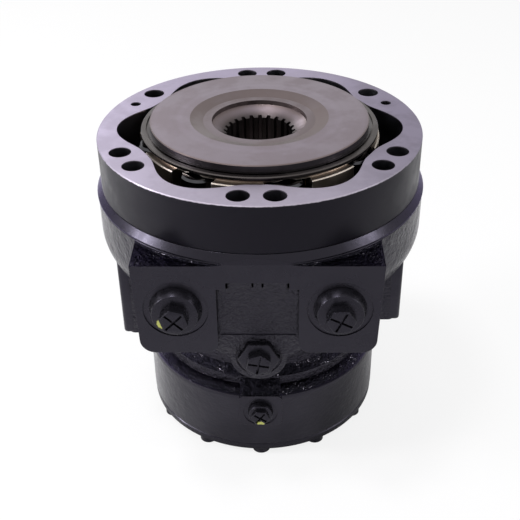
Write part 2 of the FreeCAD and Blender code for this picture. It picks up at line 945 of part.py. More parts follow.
def port_cuts():
    """Tools for the main, drain and brake ports and the drillings behind them."""
    cuts = []
    upper, lower = gallery_levels()
    steps = distributor_steps()
    for side, level, step in ((-1, upper, steps[1]), (1, lower, steps[2])):
        x = side * port_x
        z = -port_depth
        mouth = Vector(x, -port_face - long_overrun, z)
        spot_floor = Vector(x, -port_face + port_spotface_depth, z)
        bore_floor = Vector(x, -port_face + port_bore_length, z)
        drill_start = Vector(x, -port_face + port_bore_length - gallery_drill_overlap, z)
        drill_end = polar(
            step[2] - gallery_drill_entry,
            first_stud_pair_angle + side * gallery_drill_side_angle,
            level,
        )
        cuts.append(drilled(mouth, spot_floor, port_spotface_radius))
        cuts.append(drilled(mouth, bore_floor, port_bore_radius))
        cuts.append(drilled(drill_start, drill_end, gallery_drill_radius))
    mouth = Vector(0, drain_face - long_overrun, -drain_depth)
    drain_floor = Vector(0, drain_face + drain_bore_length, -drain_depth)
    passage_y = drain_drill_entry - shaft_passage_radius
    passage = Vector(0, passage_y, -drain_depth - drain_drill_drop)
    cuts.append(drilled(mouth, Vector(0, drain_seat, -drain_depth), drain_spotface_radius))
    cuts.append(drilled(mouth, drain_floor, drain_bore_radius))
    cuts.append(drilled(drain_floor, passage, drain_drill_radius))
    brake_floor = Vector(0, -brake_port_face + brake_port_bore_length, -brake_port_depth)
    mouth = Vector(0, -brake_port_face - long_overrun, -brake_port_depth)
    spot_floor = Vector(0, -brake_port_face + brake_port_spotface_depth, -brake_port_depth)
    chamber_y = brake_port_drill_entry - brake_bore_radius
    chamber = Vector(0, chamber_y, brake_bore_top - brake_piston_chamber / 2)
    cuts.append(drilled(mouth, spot_floor, brake_port_spotface_radius))
    cuts.append(drilled(mouth, brake_floor, brake_port_bore_radius))
    cuts.append(drilled(brake_floor, chamber, brake_port_drill_radius))
    return cuts


def face_cuts():
    """Tools for the ring seat: stud, dowel and pin holes, the seal groove and the recess."""
    above = ring_bottom + overrun
    recess_floor = valve_face - block_recess_clearance
    cuts = [disc(block_recess_radius, recess_floor, above)]
    for angle in stud_hole_angles():
        place = polar(stud_circle_radius, angle)
        low = ring_bottom - housing_stud_hole_depth
        cuts.append(disc(housing_stud_hole_radius, low, above, place[:2]))
    for angle in dowel_hole_angles:
        place = polar(stud_circle_radius, angle)
        low = ring_bottom - dowel_hole_depth_in_housing
        cuts.append(disc(dowel_hole_radius, low, above, place[:2]))
    for angle in ring_pin_angles:
        place = polar(ring_pin_circle_radius, angle)
        low = ring_bottom - ring_pin_length / 2 - loose_clearance
        cuts.append(disc(ring_pin_radius + seat_clearance, low, above, place[:2]))
    half = seal_groove_width / 2
    groove_floor = ring_bottom - 2 * ring_seal_cord_radius - seat_clearance
    cuts.append(washer(ring_seal_radius - half, ring_seal_radius + half, groove_floor, above))
    return cuts


def inside_cuts():
    """Tools for the distributor bore, the shaft passage and the brake chamber."""
    cuts = []
    for top, bottom, radius in distributor_steps():
        cuts.append(disc(radius + running_clearance, bottom - overrun, top + overrun))
    last_step_radius = distributor_step_radii[-1] + running_clearance
    cuts.append(disc(last_step_radius, distributor_floor, distributor_bottom))
    cuts.append(disc(shaft_passage_radius, joint_face, distributor_floor + overrun))
    cuts.append(disc(disc_pack_radius + loose_clearance, disc_pack_bottom, disc_pack_top))
    cuts.append(disc(brake_neck_radius, brake_bore_top, disc_pack_bottom))
    cuts.append(disc(brake_bore_radius, joint_face - overrun, brake_bore_top))
    for i in range(plate_tab_count):
        half = plate_tab_half_width + loose_clearance
        slot = block(
            (disc_pack_radius - plate_tab_root, plate_tab_radius + loose_clearance),
            (-half, half),
            (disc_pack_bottom - overrun, disc_pack_top),
        )
        cuts.append(turn_copy(slot, 360.0 / plate_tab_count * i))
    pin = polar(distributor_pin_circle_radius, distributor_pin_angle)
    pin_hole_radius = distributor_pin_radius + seat_clearance
    low = distributor_floor - distributor_pin_grip - loose_clearance
    cuts.append(disc(pin_hole_radius, low, distributor_floor + overrun, pin[:2]))
    for i in range(screw_count):
        place = polar(screw_circle_radius, 360.0 / screw_count * i)
        top = cover_bottom + screw_length + loose_clearance
        cuts.append(disc(screw_radius + seat_clearance, joint_face - overrun, top, place[:2]))
    return cuts


def spool_cuts():
    """Tools for the spool bore through both lugs and the seats of its end plugs."""
    outside = lug_half_width + long_overrun
    seat = lug_half_width - end_plug_spotface_depth
    cuts = [spool_bar(spool_bore_radius, -outside, outside)]
    for side in (-1, 1):
        cuts.append(spool_bar(end_plug_spotface_radius, side * seat, side * outside))
    return cuts


def rear_housing():
    """Port and brake housing, one casting with machined faces and bores."""
    body = housing_body()
    extras = [
        port_block(),
        block_cove(),
        drain_boss(),
        side_lug(-1, left_lug_bottom_depth),
        side_lug(1, right_lug_bottom_depth),
        brake_boss(),
    ]
    body = body.fuse(extras)
    front = block(
        (-shoulder_radius, shoulder_radius),
        (-port_face - long_overrun, -port_face),
        (joint_face, ring_bottom + overrun),
    )
    body = body.cut([front] + front_recess())
    return body.cut(inside_cuts() + face_cuts() + port_cuts() + spool_cuts()).removeSplitter()


# Speed spool
def spool_bar(radius, start, end):
    """Round bar along X on the spool's axis."""
    low = Vector(start, -spool_front, -spool_depth)
    return drilled(low, Vector(end, -spool_front, -spool_depth), radius)


def speed_spool():
    """Grooved spool that changes the motor between its two speeds."""
    pitch = (spool_length - spool_land_length) / (spool_land_count - 1)
    body = spool_bar(spool_neck_radius, spool_left, spool_right)
    for i in range(spool_land_count):
        start = spool_left + pitch * i
        body = body.fuse(spool_bar(spool_radius, start, start + spool_land_length))
    return body


def spool_spring():
    """Coil spring that pushes the spool back to low speed."""
    start = left_end_plug_tip + spool_spring_wire_radius + seat_clearance
    length = spool_left - left_end_plug_tip - 2 * (spool_spring_wire_radius + seat_clearance)
    helix = Part.makeHelix(length / spool_spring_turns, length, spool_spring_radius)
    section_circle = Part.makeCircle(
        spool_spring_wire_radius, Vector(spool_spring_radius, 0, 0), Vector(0, 1, 0)
    )
    coil = Part.Wire(helix).makePipeShell([Part.Wire(section_circle)], True, True)
    turn = Rotation(Vector(0, 0, 1), Vector(1, 0, 0))
    coil.Placement = Placement(Vector(start, -spool_front, -spool_depth), turn)
    return coil


def end_plug(side):
    """Screwed plug with a hexagon socket that closes one end of the spool bore."""
    seat = lug_half_width - end_plug_spotface_depth
    body = disc(spool_radius - seat_clearance, lug_half_width - end_plug_length, seat)
    head = turned(
        (0, seat),
        (end_plug_flange_radius, seat),
        (end_plug_flange_radius, seat + end_plug_flange_height - edge_break),
        (end_plug_flange_radius - edge_break, seat + end_plug_flange_height),
        (0, seat + end_plug_flange_height),
    )
    plug = body.fuse(head).removeSplitter()
    head_top = seat + end_plug_flange_height
    socket = hexagon(end_plug_socket_flats, head_top - end_plug_socket_depth, head_top + overrun)
    plug = plug.cut(socket)
    turn = Rotation(Vector(0, 0, 1), Vector(side, 0, 0))
    plug.Placement = Placement(Vector(0, -spool_front, -spool_depth), turn)
    return plug


# Brake
def brake_shaft():
    """Shaft splined into the block above and toothed for the friction discs below."""
    spline_bottom = valve_face + shaft_spline_gap
    spline_top = spline_bottom + shaft_spline_length
    head = toothed(
        spline_teeth,
        spline_root_radius - overrun - seat_clearance,
        spline_tip_radius - 2 * seat_clearance,
        spline_bottom,
        spline_top,
        spline_tooth_share,
        2 * seat_clearance,
    )
    core = disc(spline_root_radius - seat_clearance, spline_bottom, spline_top)
    shank = disc(shaft_radius, disc_pack_bottom, spline_bottom)
    hub_core = disc(hub_root_radius, disc_pack_bottom, disc_pack_top)
    hub = toothed(
        hub_teeth,
        hub_root_radius - overrun,
        hub_tip_radius,
        disc_pack_bottom,
        disc_pack_top,
        spline_tooth_share,
        2 * seat_clearance,
    )
    return core.fuse([head, shank, hub_core, hub]).removeSplitter()


def disc_level(index):
    """Underside of one disc of the pack, counted from the top."""
    return disc_pack_top - (index + 1) * disc_thickness


def friction_disc(index):
    """Disc driven by the shaft's teeth."""
    low = disc_level(index)
    plate = disc(friction_outer_radius, low, low + disc_thickness)
    below = low - overrun
    above = low + disc_thickness + overrun
    teeth = toothed(
        hub_teeth,
        hub_root_radius - overrun,
        hub_tip_radius + 2 * seat_clearance,
        below,
        above,
        spline_tooth_share,
    )
    bore = disc(hub_root_radius + 2 * seat_clearance, below, above)
    return plate.cut([bore, teeth])


def steel_plate(index):
    """Plate held by tabs in the housing."""
    low = disc_level(index)
    plate = disc(disc_pack_radius, low, low + disc_thickness)
    tabs = []
    for i in range(plate_tab_count):
        tab = block(
            (disc_pack_radius - plate_tab_root, plate_tab_radius),
            (-plate_tab_half_width, plate_tab_half_width),
            (low, low + disc_thickness),
        )
        tabs.append(turn_copy(tab, 360.0 / plate_tab_count * i))
    hole = disc(plate_inner_radius, low - overrun, low + disc_thickness + overrun)
    return plate.fuse(tabs).cut(hole).removeSplitter()


def piston_seal_levels():
    """Middle height of the brake piston's two seals, with the radius of each."""
    large = (piston_flange_top + piston_flange_bottom) / 2
    small = (disc_pack_bottom + brake_bore_top) / 2
    return ((large, brake_bore_radius), (small, brake_neck_radius))


def brake_piston():
    """Stepped piston: oil above its flange lifts it off the disc pack."""
    dish = disc_pack_bottom - brake_piston_dish_depth
    flange_radius = brake_bore_radius - running_clearance
    neck_radius = brake_neck_radius - running_clearance
    body = turned(
        (0, piston_flange_bottom),
        (flange_radius - edge_break, piston_flange_bottom),
        (flange_radius, piston_flange_bottom + edge_break),
        (flange_radius, piston_flange_top),
        (neck_radius, piston_flange_top),
        (neck_radius, disc_pack_bottom - edge_break),
        (neck_radius - edge_break, disc_pack_bottom),
        (brake_piston_press_inner_radius, disc_pack_bottom),
        (brake_piston_press_inner_radius - brake_piston_dish_depth, dish),
        (0, dish),
    )
    groove_height = piston_seal_width + seal_groove_play
    grooves = []
    for level, radius in piston_seal_levels():
        grooves.append(groove_ring(radius, piston_seal_depth, level, groove_height))
    return body.cut(grooves)


def brake_piston_seals():
    """Seal rings of the brake piston."""
    seals = []
    for level, radius in piston_seal_levels():
        low = level - piston_seal_width / 2
        inner = radius - piston_seal_depth + seat_clearance
        outer = radius - running_clearance / 2
        seals.append(washer(inner, outer, low, low + piston_seal_width))
    return seals


def disc_spring():
    """Dished spring that presses the brake piston against the discs."""
    return cone_washer(
        disc_spring_inner_radius,
        disc_spring_outer_radius,
        spigot_top + seat_clearance,
        piston_flange_bottom - seat_clearance,
        disc_spring_thickness,
    )


def brake_cover():
    """Cover with a spigot in the brake bore, a seal groove and a ring of screw holes."""
    rim = brake_housing_radius - loose_clearance
    body = turned(
        (0, cover_bottom),
        (rim - edge_break, cover_bottom),
        (rim, cover_bottom + edge_break),
        (rim, joint_face - joint_edge_break),
        (rim - joint_edge_break, joint_face),
        (brake_bore_radius - seat_clearance, joint_face),
        (brake_bore_radius - seat_clearance, spigot_top),
        (cover_spigot_inner_radius, spigot_top),
        (cover_spigot_inner_radius, joint_face),
        (0, joint_face),
    )
    half = seal_groove_width / 2
    groove_floor = joint_face - 2 * cover_seal_cord_radius - seat_clearance
    above = joint_face + overrun
    cuts = [washer(cover_seal_radius - half, cover_seal_radius + half, groove_floor, above)]
    for i in range(screw_count):
        place = polar(screw_circle_radius, 360.0 / screw_count * i)
        hole = disc(screw_radius + loose_clearance, cover_bottom - overrun, above, place[:2])
        cuts.append(hole)
    return body.cut(cuts)


def cover_screw(index):
    """Low-head socket screw of the brake cover, head down."""
    top = cover_bottom + screw_length
    body = turned(
        (0, foot),
        (screw_head_radius - edge_break, foot),
        (screw_head_radius, foot + edge_break),
        (screw_head_radius, cover_bottom),
        (screw_radius, cover_bottom),
        (screw_radius, top),
        (0, top),
    )
    body = body.cut(hexagon(screw_socket_flats, foot - overrun, foot + screw_socket_depth))
    body.translate(polar(screw_circle_radius, 360.0 / screw_count * index))
    return body


# Transit plugs
def plug(flange, bore_size, hex_flats, hex_base, hex_height, head_turn):
    """Plug along +Z: shank below zero, flange above it and a turned head with a cross."""
    bore_radius_here, bore_length = bore_size
    shank = disc(bore_radius_here - seat_clearance, -bore_length * plug_shank_share, 0)
    top = hex_base + hex_height
    head = turn_copy(hexagon(hex_flats, hex_base, top), head_turn)
    cross_floor = top - plug_cross_depth
    within = disc(hex_flats / 2 - plug_cross_inset, cross_floor, top + overrun)
    half = plug_cross_width / 2
    bar = block((-hex_flats, hex_flats), (-half, half), (cross_floor, top + overrun))
    groove = bar.common(within)
    cross = [turn_copy(groove, head_turn + angle) for angle in plug_cross_angles]
    return shank.fuse([flange, head]).removeSplitter().cut(cross)


def round_flange(radius, height):
    """Round plug flange with a broken edge."""
    return turned(
        (0, 0),
        (radius, 0),
        (radius, height - edge_break),
        (radius - edge_break, height),
        (0, height),
    )


def main_plug(side, degrees):
    """Transit plug of one main port."""
    flange = round_flange(main_plug_flange_radius, main_plug_flange_height)
    body = plug(
        flange,
        (port_bore_radius, port_bore_length),
        main_plug_hex_flats,
        main_plug_flange_height,
        main_plug_hex_height,
        degrees,
    )
    return facing_front(body, side * port_x, -port_face + port_spotface_depth, -port_depth)


def drain_plug():
    """Transit plug of the drain port, with a chamfered hexagon flange."""
    flange = hexagon(drain_plug_flange_flats, 0, drain_plug_flange_height)
    crown = turned(
        (0, 0),
        (drain_plug_flange_flats, 0),
        (drain_plug_flange_flats / 2 - drain_plug_crown_inset, drain_plug_flange_height),
        (0, drain_plug_flange_height),
    )
    body = plug(
        flange.common(crown),
        (drain_bore_radius, drain_bore_length),
        drain_plug_hex_flats,
        drain_plug_flange_height,
        drain_plug_hex_height,
        drain_plug_turn,
    )
    return facing_front(body, 0, drain_seat, -drain_depth)


def brake_plug():
    """Transit plug of the brake port."""
    flange = round_flange(brake_plug_flange_radius, brake_plug_flange_height)
    body = plug(
        flange,
        (brake_port_bore_radius, brake_port_bore_length),
        brake_plug_hex_flats,
        brake_plug_flange_height,
        brake_plug_hex_height,
        brake_plug_turn,
    )
    seat = -brake_port_face + brake_port_spotface_depth
    return facing_front(body, 0, seat, -brake_port_depth)


def build():
    """Write every piece."""
    os.makedirs("parts", exist_ok=True)
    save("cam_ring", cam_ring())
    save("ring_locating_pins", *ring_pins())
    seal_height = ring_bottom - ring_seal_cord_radius - seat_clearance / 2
    save("ring_seal", seal_cord(ring_seal_radius, ring_seal_cord_radius, seal_height))
    save("rear_housing", rear_housing())
    save("cylinder_block", cylinder_block())
    save("guide_ring", guide_ring())
    save("retaining_ring", retaining_ring())
    for number, angle in enumerate(bore_angles, start=1):
        save("piston_" + str(number), turn_copy(piston(), angle))
        save("piston_ring_" + str(number), turn_copy(piston_ring(), angle))
        save("roller_bush_" + str(number), turn_copy(roller_bush(), angle))
        save("roller_" + str(number), turn_copy(roller(), angle))
    save("flow_distributor", flow_distributor())
    save("distributor_seals", *distributor_seals())
    save(
        "distributor_spring",
        cone_washer(
            wave_spring_inner_radius,
            wave_spring_outer_radius,
            distributor_floor + seat_clearance,
            distributor_bottom - seat_clearance,
            wave_spring_thickness,
        ),
    )
    save("distributor_pin", distributor_pin())
    save("speed_spool", speed_spool())
    save("spool_spring", spool_spring())
    save("spool_end_plugs", end_plug(-1), end_plug(1))
    save("brake_shaft", brake_shaft())
    save("friction_discs", *[friction_disc(2 * i + 1) for i in range(friction_disc_count)])
    save("steel_plates", *[steel_plate(2 * i) for i in range(friction_disc_count + 1)])
    save("brake_piston", brake_piston())
    save("brake_piston_seals", *brake_piston_seals())
    save("disc_spring", disc_spring())
    save("brake_cover", brake_cover())
    seal_height = joint_face - cover_seal_cord_radius - seat_clearance / 2
    save("cover_seal", seal_cord(cover_seal_radius, cover_seal_cord_radius, seal_height))
    save("cover_screws", *[cover_screw(i) for i in range(screw_count)])
    save("main_port_plug_left", main_plug(-1, left_plug_turn))
    save("main_port_plug_right", main_plug(1, right_plug_turn))
    save("drain_port_plug", drain_plug())
    save("brake_port_plug", brake_plug())


build()
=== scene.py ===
"""Looks of a radial piston drive motor: finishes, small details, light and camera.

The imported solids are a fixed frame. Every one of them gets a finish here, and the studio
is set up around them. Lengths are in metres, and patterns are worked out in millimetres.
"""

import logging
import math
from dataclasses import dataclass, field
from enum import Enum

import bmesh
import bpy
from mathutils import Matrix, Vector


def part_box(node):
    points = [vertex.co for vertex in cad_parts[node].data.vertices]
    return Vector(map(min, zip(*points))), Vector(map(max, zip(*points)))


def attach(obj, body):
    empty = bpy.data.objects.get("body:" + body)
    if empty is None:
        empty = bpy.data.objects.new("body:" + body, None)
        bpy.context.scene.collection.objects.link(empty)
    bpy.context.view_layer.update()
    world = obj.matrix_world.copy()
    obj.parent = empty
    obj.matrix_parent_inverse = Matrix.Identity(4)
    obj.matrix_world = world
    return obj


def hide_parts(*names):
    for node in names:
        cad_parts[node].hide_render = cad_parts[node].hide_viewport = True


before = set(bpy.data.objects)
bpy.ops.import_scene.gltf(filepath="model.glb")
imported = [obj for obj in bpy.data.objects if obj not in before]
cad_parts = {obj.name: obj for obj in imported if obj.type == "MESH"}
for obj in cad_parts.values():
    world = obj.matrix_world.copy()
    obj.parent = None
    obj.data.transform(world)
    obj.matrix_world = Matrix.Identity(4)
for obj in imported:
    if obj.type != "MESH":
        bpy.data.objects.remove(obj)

log = logging.getLogger("motor")
MM = 0.001
Colour = tuple[float, float, float]
Socket = bpy.types.NodeSocket
PAINT_TINT: Colour = (0.82, 0.77, 1.0)
LEFT_BARE_SPOT = (-60.3, -121.0, -81.0)
BRAKE_BARE_SPOT = (0.2, -96.5, -189.8)


class Graph:
    """Node tree under construction, with short calls for the nodes used here."""

    def __init__(self, tree: bpy.types.NodeTree) -> None:
        """Start on a tree.

        Args:
            tree: The node tree that gets the nodes.
        """
        self.tree = tree

    def add(self, kind: str, **settings: object) -> bpy.types.Node:
        """Add a node and set its properties.

        Args:
            kind: Blender's name for the node.
            settings: Properties of the node and their values.

        Returns:
            The new node.
        """
        node = self.tree.nodes.new(kind)
        for name, value in settings.items():
            setattr(node, name, value)
        return node

    def feed(self, target: Socket, value: object) -> None:
        """Link a socket into another, or set a plain value on it.

        Args:
            target: Input socket.
            value: Output socket or plain value.
        """
        if isinstance(value, bpy.types.NodeSocket):
            self.tree.links.new(value, target)
        else:
            target.default_value = value

    def math(self, operation: str, a: object, b: object = 0.0, clamp: bool = False) -> Socket:
        """Add a Math node.

        Args:
            operation: Blender's name of the operation.
            a: First value.
            b: Second value.
            clamp: Whether the result is kept from 0 to 1.

        Returns:
            The result.
        """
        node = self.add("ShaderNodeMath", operation=operation, use_clamp=clamp)
        self.feed(node.inputs[0], a)
        self.feed(node.inputs[1], b)
        return node.outputs[0]

    def span(self, value: object, low: float, high: float, to_low: float = 0.0,
             to_high: float = 1.0) -> Socket:
        """Map one span of values smoothly to another.

        Args:
            value: Value to map.
            low: Start of the span.
            high: End of the span.
            to_low: Result at the start.
            to_high: Result at the end.

        Returns:
            The mapped value.
        """
        node = self.add("ShaderNodeMapRange", interpolation_type="SMOOTHSTEP")
        for socket, given in zip(node.inputs, (value, low, high, to_low, to_high)):
            self.feed(socket, given)
        return node.outputs[0]

    def mix(self, share: object, a: object, b: object) -> Socket:
        """Mix two colours.

        Args:
            share: Share of the second colour.
            a: First colour.
            b: Second colour.

        Returns:
            The mixed colour.
        """
        node = self.add("ShaderNodeMix", data_type="RGBA")
        self.feed(node.inputs[0], share)
        self.feed(node.inputs[6], (*a, 1.0) if isinstance(a, tuple) else a)
        self.feed(node.inputs[7], (*b, 1.0) if isinstance(b, tuple) else b)
        return node.outputs[2]

    def millimetres(self) -> Socket:
        """Return the place on the piece in millimetres."""
        place = self.add("ShaderNodeTexCoord").outputs["Object"]
        scaled = self.add("ShaderNodeVectorMath", operation="SCALE")
        self.feed(scaled.inputs[0], place)
        scaled.inputs["Scale"].default_value = 1 / MM
        return scaled.outputs[0]

    def parts(self, vector: Socket) -> tuple[Socket, Socket, Socket]:
        """Split a vector into its three parts.

        Args:
            vector: Vector to split.

        Returns:
            The X, Y and Z parts.
        """
        node = self.add("ShaderNodeSeparateXYZ")
        self.feed(node.inputs[0], vector)
        return node.outputs[0], node.outputs[1], node.outputs[2]

    def joined(self, x: object, y: object, z: object) -> Socket:
        """Join three values to a vector.

        Args:
            x: X part.
            y: Y part.
            z: Z part.

        Returns:
            The vector.
        """
        node = self.add("ShaderNodeCombineXYZ")
        for socket, value in zip(node.inputs, (x, y, z)):
            self.feed(socket, value)
        return node.outputs[0]

    def noise(self, vector: object, size: object, detail: float = 2.0, rough: float = 0.5) -> Socket:
        """Add noise of a feature size.

        Args:
            vector: Place in millimetres.
            size: Size of the features in millimetres.
            detail: Number of finer layers.
            rough: Weight of the finer layers.

        Returns:
            The noise value, about 0.5.
        """
        node = self.add("ShaderNodeTexNoise")
        scale = self.math("DIVIDE", 1.0, size) if isinstance(size, Socket) else 1.0 / size
        self.feed(node.inputs["Vector"], vector)
        self.feed(node.inputs["Scale"], scale)
        node.inputs["Detail"].default_value = detail
        node.inputs["Roughness"].default_value = rough
        return node.outputs[0]


class Effect(Enum):
    """Surface effects that several finishes share."""

    TURNED = "turned_marks"
    CAST = "cast_skin"
    CLOUD = "cloudy_film"
    WEAR = "edge_wear_and_highlight"


class EffectShelf:
    """The shared effects, each built once as a node group."""

    def __init__(self) -> None:
        """Build every effect."""
        self.groups = {
            Effect.TURNED: self.turned(),
            Effect.CAST: self.cast(),
            Effect.CLOUD: self.cloud(),
            Effect.WEAR: self.wear(),
        }

    @staticmethod
    def start(effect: Effect, inputs: dict[str, float], outputs: tuple[str, ...]) -> tuple:
        """Make an empty group with its sockets.

        Args:
            effect: The effect that the group is for.
            inputs: Names and first values of the inputs.
            outputs: Names of the outputs.

        Returns:
            The group, its graph, its input node and its output node.
        """
        group = bpy.data.node_groups.new(effect.value, "ShaderNodeTree")
        for name, value in inputs.items():
            socket = group.interface.new_socket(name, in_out="INPUT", socket_type="NodeSocketFloat")
            socket.default_value = value
        for name in outputs:
            group.interface.new_socket(name, in_out="OUTPUT", socket_type="NodeSocketFloat")
        graph = Graph(group)
        return group, graph, graph.add("NodeGroupInput"), graph.add("NodeGroupOutput")

    def turned(self) -> bpy.types.NodeTree:
        """Return rings left by turning: they follow the radius on a face and Z on a side."""
        group, graph, given, result = self.start(Effect.TURNED, {"Pitch": 0.5}, ("Height", "Tone"))
        x, y, z = graph.parts(graph.millimetres())
        squares = graph.math("ADD", graph.math("MULTIPLY", x, x), graph.math("MULTIPLY", y, y))
        radius = graph.math("SQRT", squares)
        flat = graph.joined(radius, z, 0.0)
        fine = graph.noise(flat, given.outputs["Pitch"], 2.0, 0.6)
        wide = graph.noise(flat, graph.math("MULTIPLY", given.outputs["Pitch"], 9.0), 1.0)
        graph.feed(result.inputs["Height"], graph.math("ADD", fine, wide))
        graph.feed(result.inputs["Tone"], wide)
        return group

    def cast(self) -> bpy.types.NodeTree:
        """Return the grainy skin of a sand casting under paint."""
        group, graph, given, result = self.start(Effect.CAST, {"Grain": 1.2}, ("Height", "Pits"))
        place = graph.millimetres()
        grain = given.outputs["Grain"]
        fine = graph.noise(place, grain, 3.0, 0.6)
        wide = graph.noise(place, graph.math("MULTIPLY", grain, 5.0), 2.0)
        cells = graph.add("ShaderNodeTexVoronoi", feature="SMOOTH_F1")
        graph.feed(cells.inputs["Vector"], place)
        graph.feed(cells.inputs["Scale"], graph.math("DIVIDE", 0.6, grain))
        bumps = graph.math("ADD", fine, graph.math("MULTIPLY", cells.outputs["Distance"], 0.35))
        graph.feed(result.inputs["Height"], graph.math("ADD", bumps, graph.math("MULTIPLY", wide, 1.5)))
        graph.feed(result.inputs["Pits"], graph.span(fine, 0.62, 0.75))
        return group

    def cloud(self) -> bpy.types.NodeTree:
        """Return soft patches of oil film and handling marks."""
        group, graph, given, result = self.start(Effect.CLOUD, {"Size": 30.0}, ("Mask",))
        place = graph.millimetres()
        wide = graph.noise(place, given.outputs["Size"], 4.0, 0.55)
        graph.feed(result.inputs["Mask"], graph.span(wide, 0.38, 0.64))
        return group

    def wear(self) -> bpy.types.NodeTree:
        """Return a broken-up mask along the sharp edges, for worn paint and for a painted edge highlight."""
        group, graph, given, result = self.start(Effect.WEAR, {"Width": 0.0006, "Cover": 0.5}, ("Mask",))
        rounded = graph.add("ShaderNodeBevel", samples=4)
        graph.feed(rounded.inputs["Radius"], given.outputs["Width"])
        facing = graph.add("ShaderNodeNewGeometry")
        dot = graph.add("ShaderNodeVectorMath", operation="DOT_PRODUCT")
        graph.feed(dot.inputs[0], rounded.outputs[0])
        graph.feed(dot.inputs[1], facing.outputs["True Normal"])
        edge = graph.span(dot.outputs["Value"], 0.995, 0.9)
        patches = graph.noise(graph.millimetres(), 2.5, 3.0, 0.7)
        shares = graph.math("SUBTRACT", graph.math("ADD", patches, given.outputs["Cover"]), 0.75)
        graph.feed(result.inputs["Mask"], graph.math("MULTIPLY", edge, graph.span(shares, 0.0, 0.25)))
        return group


shelf = EffectShelf()


@dataclass(frozen=True)
class Finish:
    """Base of the finishes: a material with a Principled shader and its graph."""

    name: str

    def begin(self) -> tuple[bpy.types.Material, Graph, bpy.types.Node]:
        """Make the empty material.

        Returns:
            The material, its graph and its Principled shader.
        """
        material = bpy.data.materials.new(self.name)
        material.use_nodes = True
        graph = Graph(material.node_tree)
        shader = material.node_tree.nodes["Principled BSDF"]
        return material, graph, shader

    @staticmethod
    def effect(graph: Graph, effect: Effect, **inputs: float) -> bpy.types.Node:
        """Place a shared effect with its own values.

        Args:
            graph: Graph of the material.
            effect: The effect.
            inputs: Values of its inputs.

        Returns:
            The group node.
        """
        node = graph.add("ShaderNodeGroup", node_tree=shelf.groups[effect])
        for name, value in inputs.items():
            node.inputs[name].default_value = value
        return node

    @staticmethod
    def bump(graph: Graph, shader: bpy.types.Node, height: Socket, relief: float,
             edge_round: float = 0.0) -> None:
        """Drive the shader's normal from a height, over edges that look slightly rounded.

        Args:
            graph: Graph of the material.
            shader: The Principled shader.
            height: Height in units of the relief.
            relief: Height of one unit in millimetres.
            edge_round: Radius of the rounding in millimetres.
        """
        node = graph.add("ShaderNodeBump")
        node.inputs["Distance"].default_value = relief * MM
        graph.feed(node.inputs["Height"], height)
        if edge_round:
            softened = graph.add("ShaderNodeBevel", samples=4)
            softened.inputs["Radius"].default_value = edge_round * MM
            graph.feed(node.inputs["Normal"], softened.outputs[0])
        graph.feed(shader.inputs["Normal"], node.outputs[0])

    @staticmethod
    def varnish(shader: bpy.types.Node, level: float, tint: Colour) -> None:
        """Set how strongly a paint mirrors what is round it.

        Args:
            shader: The Principled shader.
            level: Specular level.
            tint: Tint of the mirrored light.
        """
        shader.inputs["Specular IOR Level"].default_value = level
        shader.inputs["Specular Tint"].default_value = (*tint, 1.0)


@dataclass(frozen=True)
class TurnedSteel(Finish):
    """Bare steel with turning rings and a film of oil."""

    colour: Colour = (0.36, 0.33, 0.35)
    stain: Colour = (0.25, 0.22, 0.21)
    roughness: float = 0.38
    pitch: float = 0.5
    relief: float = 0.012
    patch_size: float = 30.0

    def material(self) -> bpy.types.Material:
        """Return the finished material."""
        material, graph, shader = self.begin()
        rings = self.effect(graph, Effect.TURNED, Pitch=self.pitch)
        film = self.effect(graph, Effect.CLOUD, Size=self.patch_size)
        tone = graph.math("MULTIPLY", film.outputs["Mask"], 0.6)
        toned = graph.math("MULTIPLY_ADD", rings.outputs["Tone"], 0.3)
        share = graph.math("ADD", tone, toned, clamp=True)
        graph.feed(shader.inputs["Base Color"], graph.mix(share, self.colour, self.stain))
        low, high = self.roughness - 0.05, self.roughness + 0.1
        graph.feed(shader.inputs["Roughness"], graph.span(film.outputs["Mask"], 0.0, 1.0, low, high))
        shader.inputs["Metallic"].default_value = 1.0
        self.bump(graph, shader, rings.outputs["Height"], self.relief)
        return material


@dataclass(frozen=True)
class RingSteel(Finish):
    """Cam ring: bare ground top face, painted darker towards +X as shade over patches of oil film, satin black paint
    on the side, dark oiled track.
    """

    bare: Colour = (0.40, 0.365, 0.43)
    paint: Colour = (0.0040, 0.0037, 0.0052)
    track: Colour = (0.10, 0.10, 0.115)
    gloss: float = 0.16
    outer_radius: float = 112.5
    hole_radius: float = 108.0
    edge_drop: float = 0.35

    def material(self) -> bpy.types.Material:
        """Return the finished material."""
        material, graph, shader = self.begin()
        place = graph.millimetres()
        x, y, z = graph.parts(place)
        squares = graph.math("ADD", graph.math("MULTIPLY", x, x), graph.math("MULTIPLY", y, y))
        radius = graph.math("SQRT", squares)
        film = self.effect(graph, Effect.CLOUD, Size=22.0)
        grind = self.effect(graph, Effect.TURNED, Pitch=0.35)
        fray = graph.math("MULTIPLY", graph.noise(place, 2.0, 3.0), 0.9)
        top = graph.span(graph.math("ADD", z, fray), -0.2 - self.edge_drop, -self.edge_drop + 0.4)
        outside = graph.span(radius, self.hole_radius + 1, self.hole_radius + 2)
        wall = graph.mix(outside, self.track, self.paint)
        shade = graph.math("MULTIPLY", film.outputs["Mask"], 0.2)
        # Painted shade: the bare face gets darker towards +X, on top of the random oil film patches.
        film_and_right_shade = graph.math("ADD", shade, graph.span(x, 20.0, 105.0, 0.0, 0.75), clamp=True)
        face = graph.mix(film_and_right_shade, self.bare, tuple(part * 0.5 for part in self.bare))
        graph.feed(shader.inputs["Base Color"], graph.mix(top, wall, face))
        graph.feed(shader.inputs["Metallic"], graph.math("MAXIMUM", top, graph.math("SUBTRACT", 1.0, outside)))
        satin = graph.span(film.outputs["Mask"], 0.0, 1.0, 0.30, 0.40)
        graph.feed(shader.inputs["Roughness"], graph.math("ADD", satin, graph.math("MULTIPLY", top, 0.08)))
        self.varnish(shader, self.gloss, PAINT_TINT)
        self.bump(graph, shader, grind.outputs["Height"], 0.006)
        return material


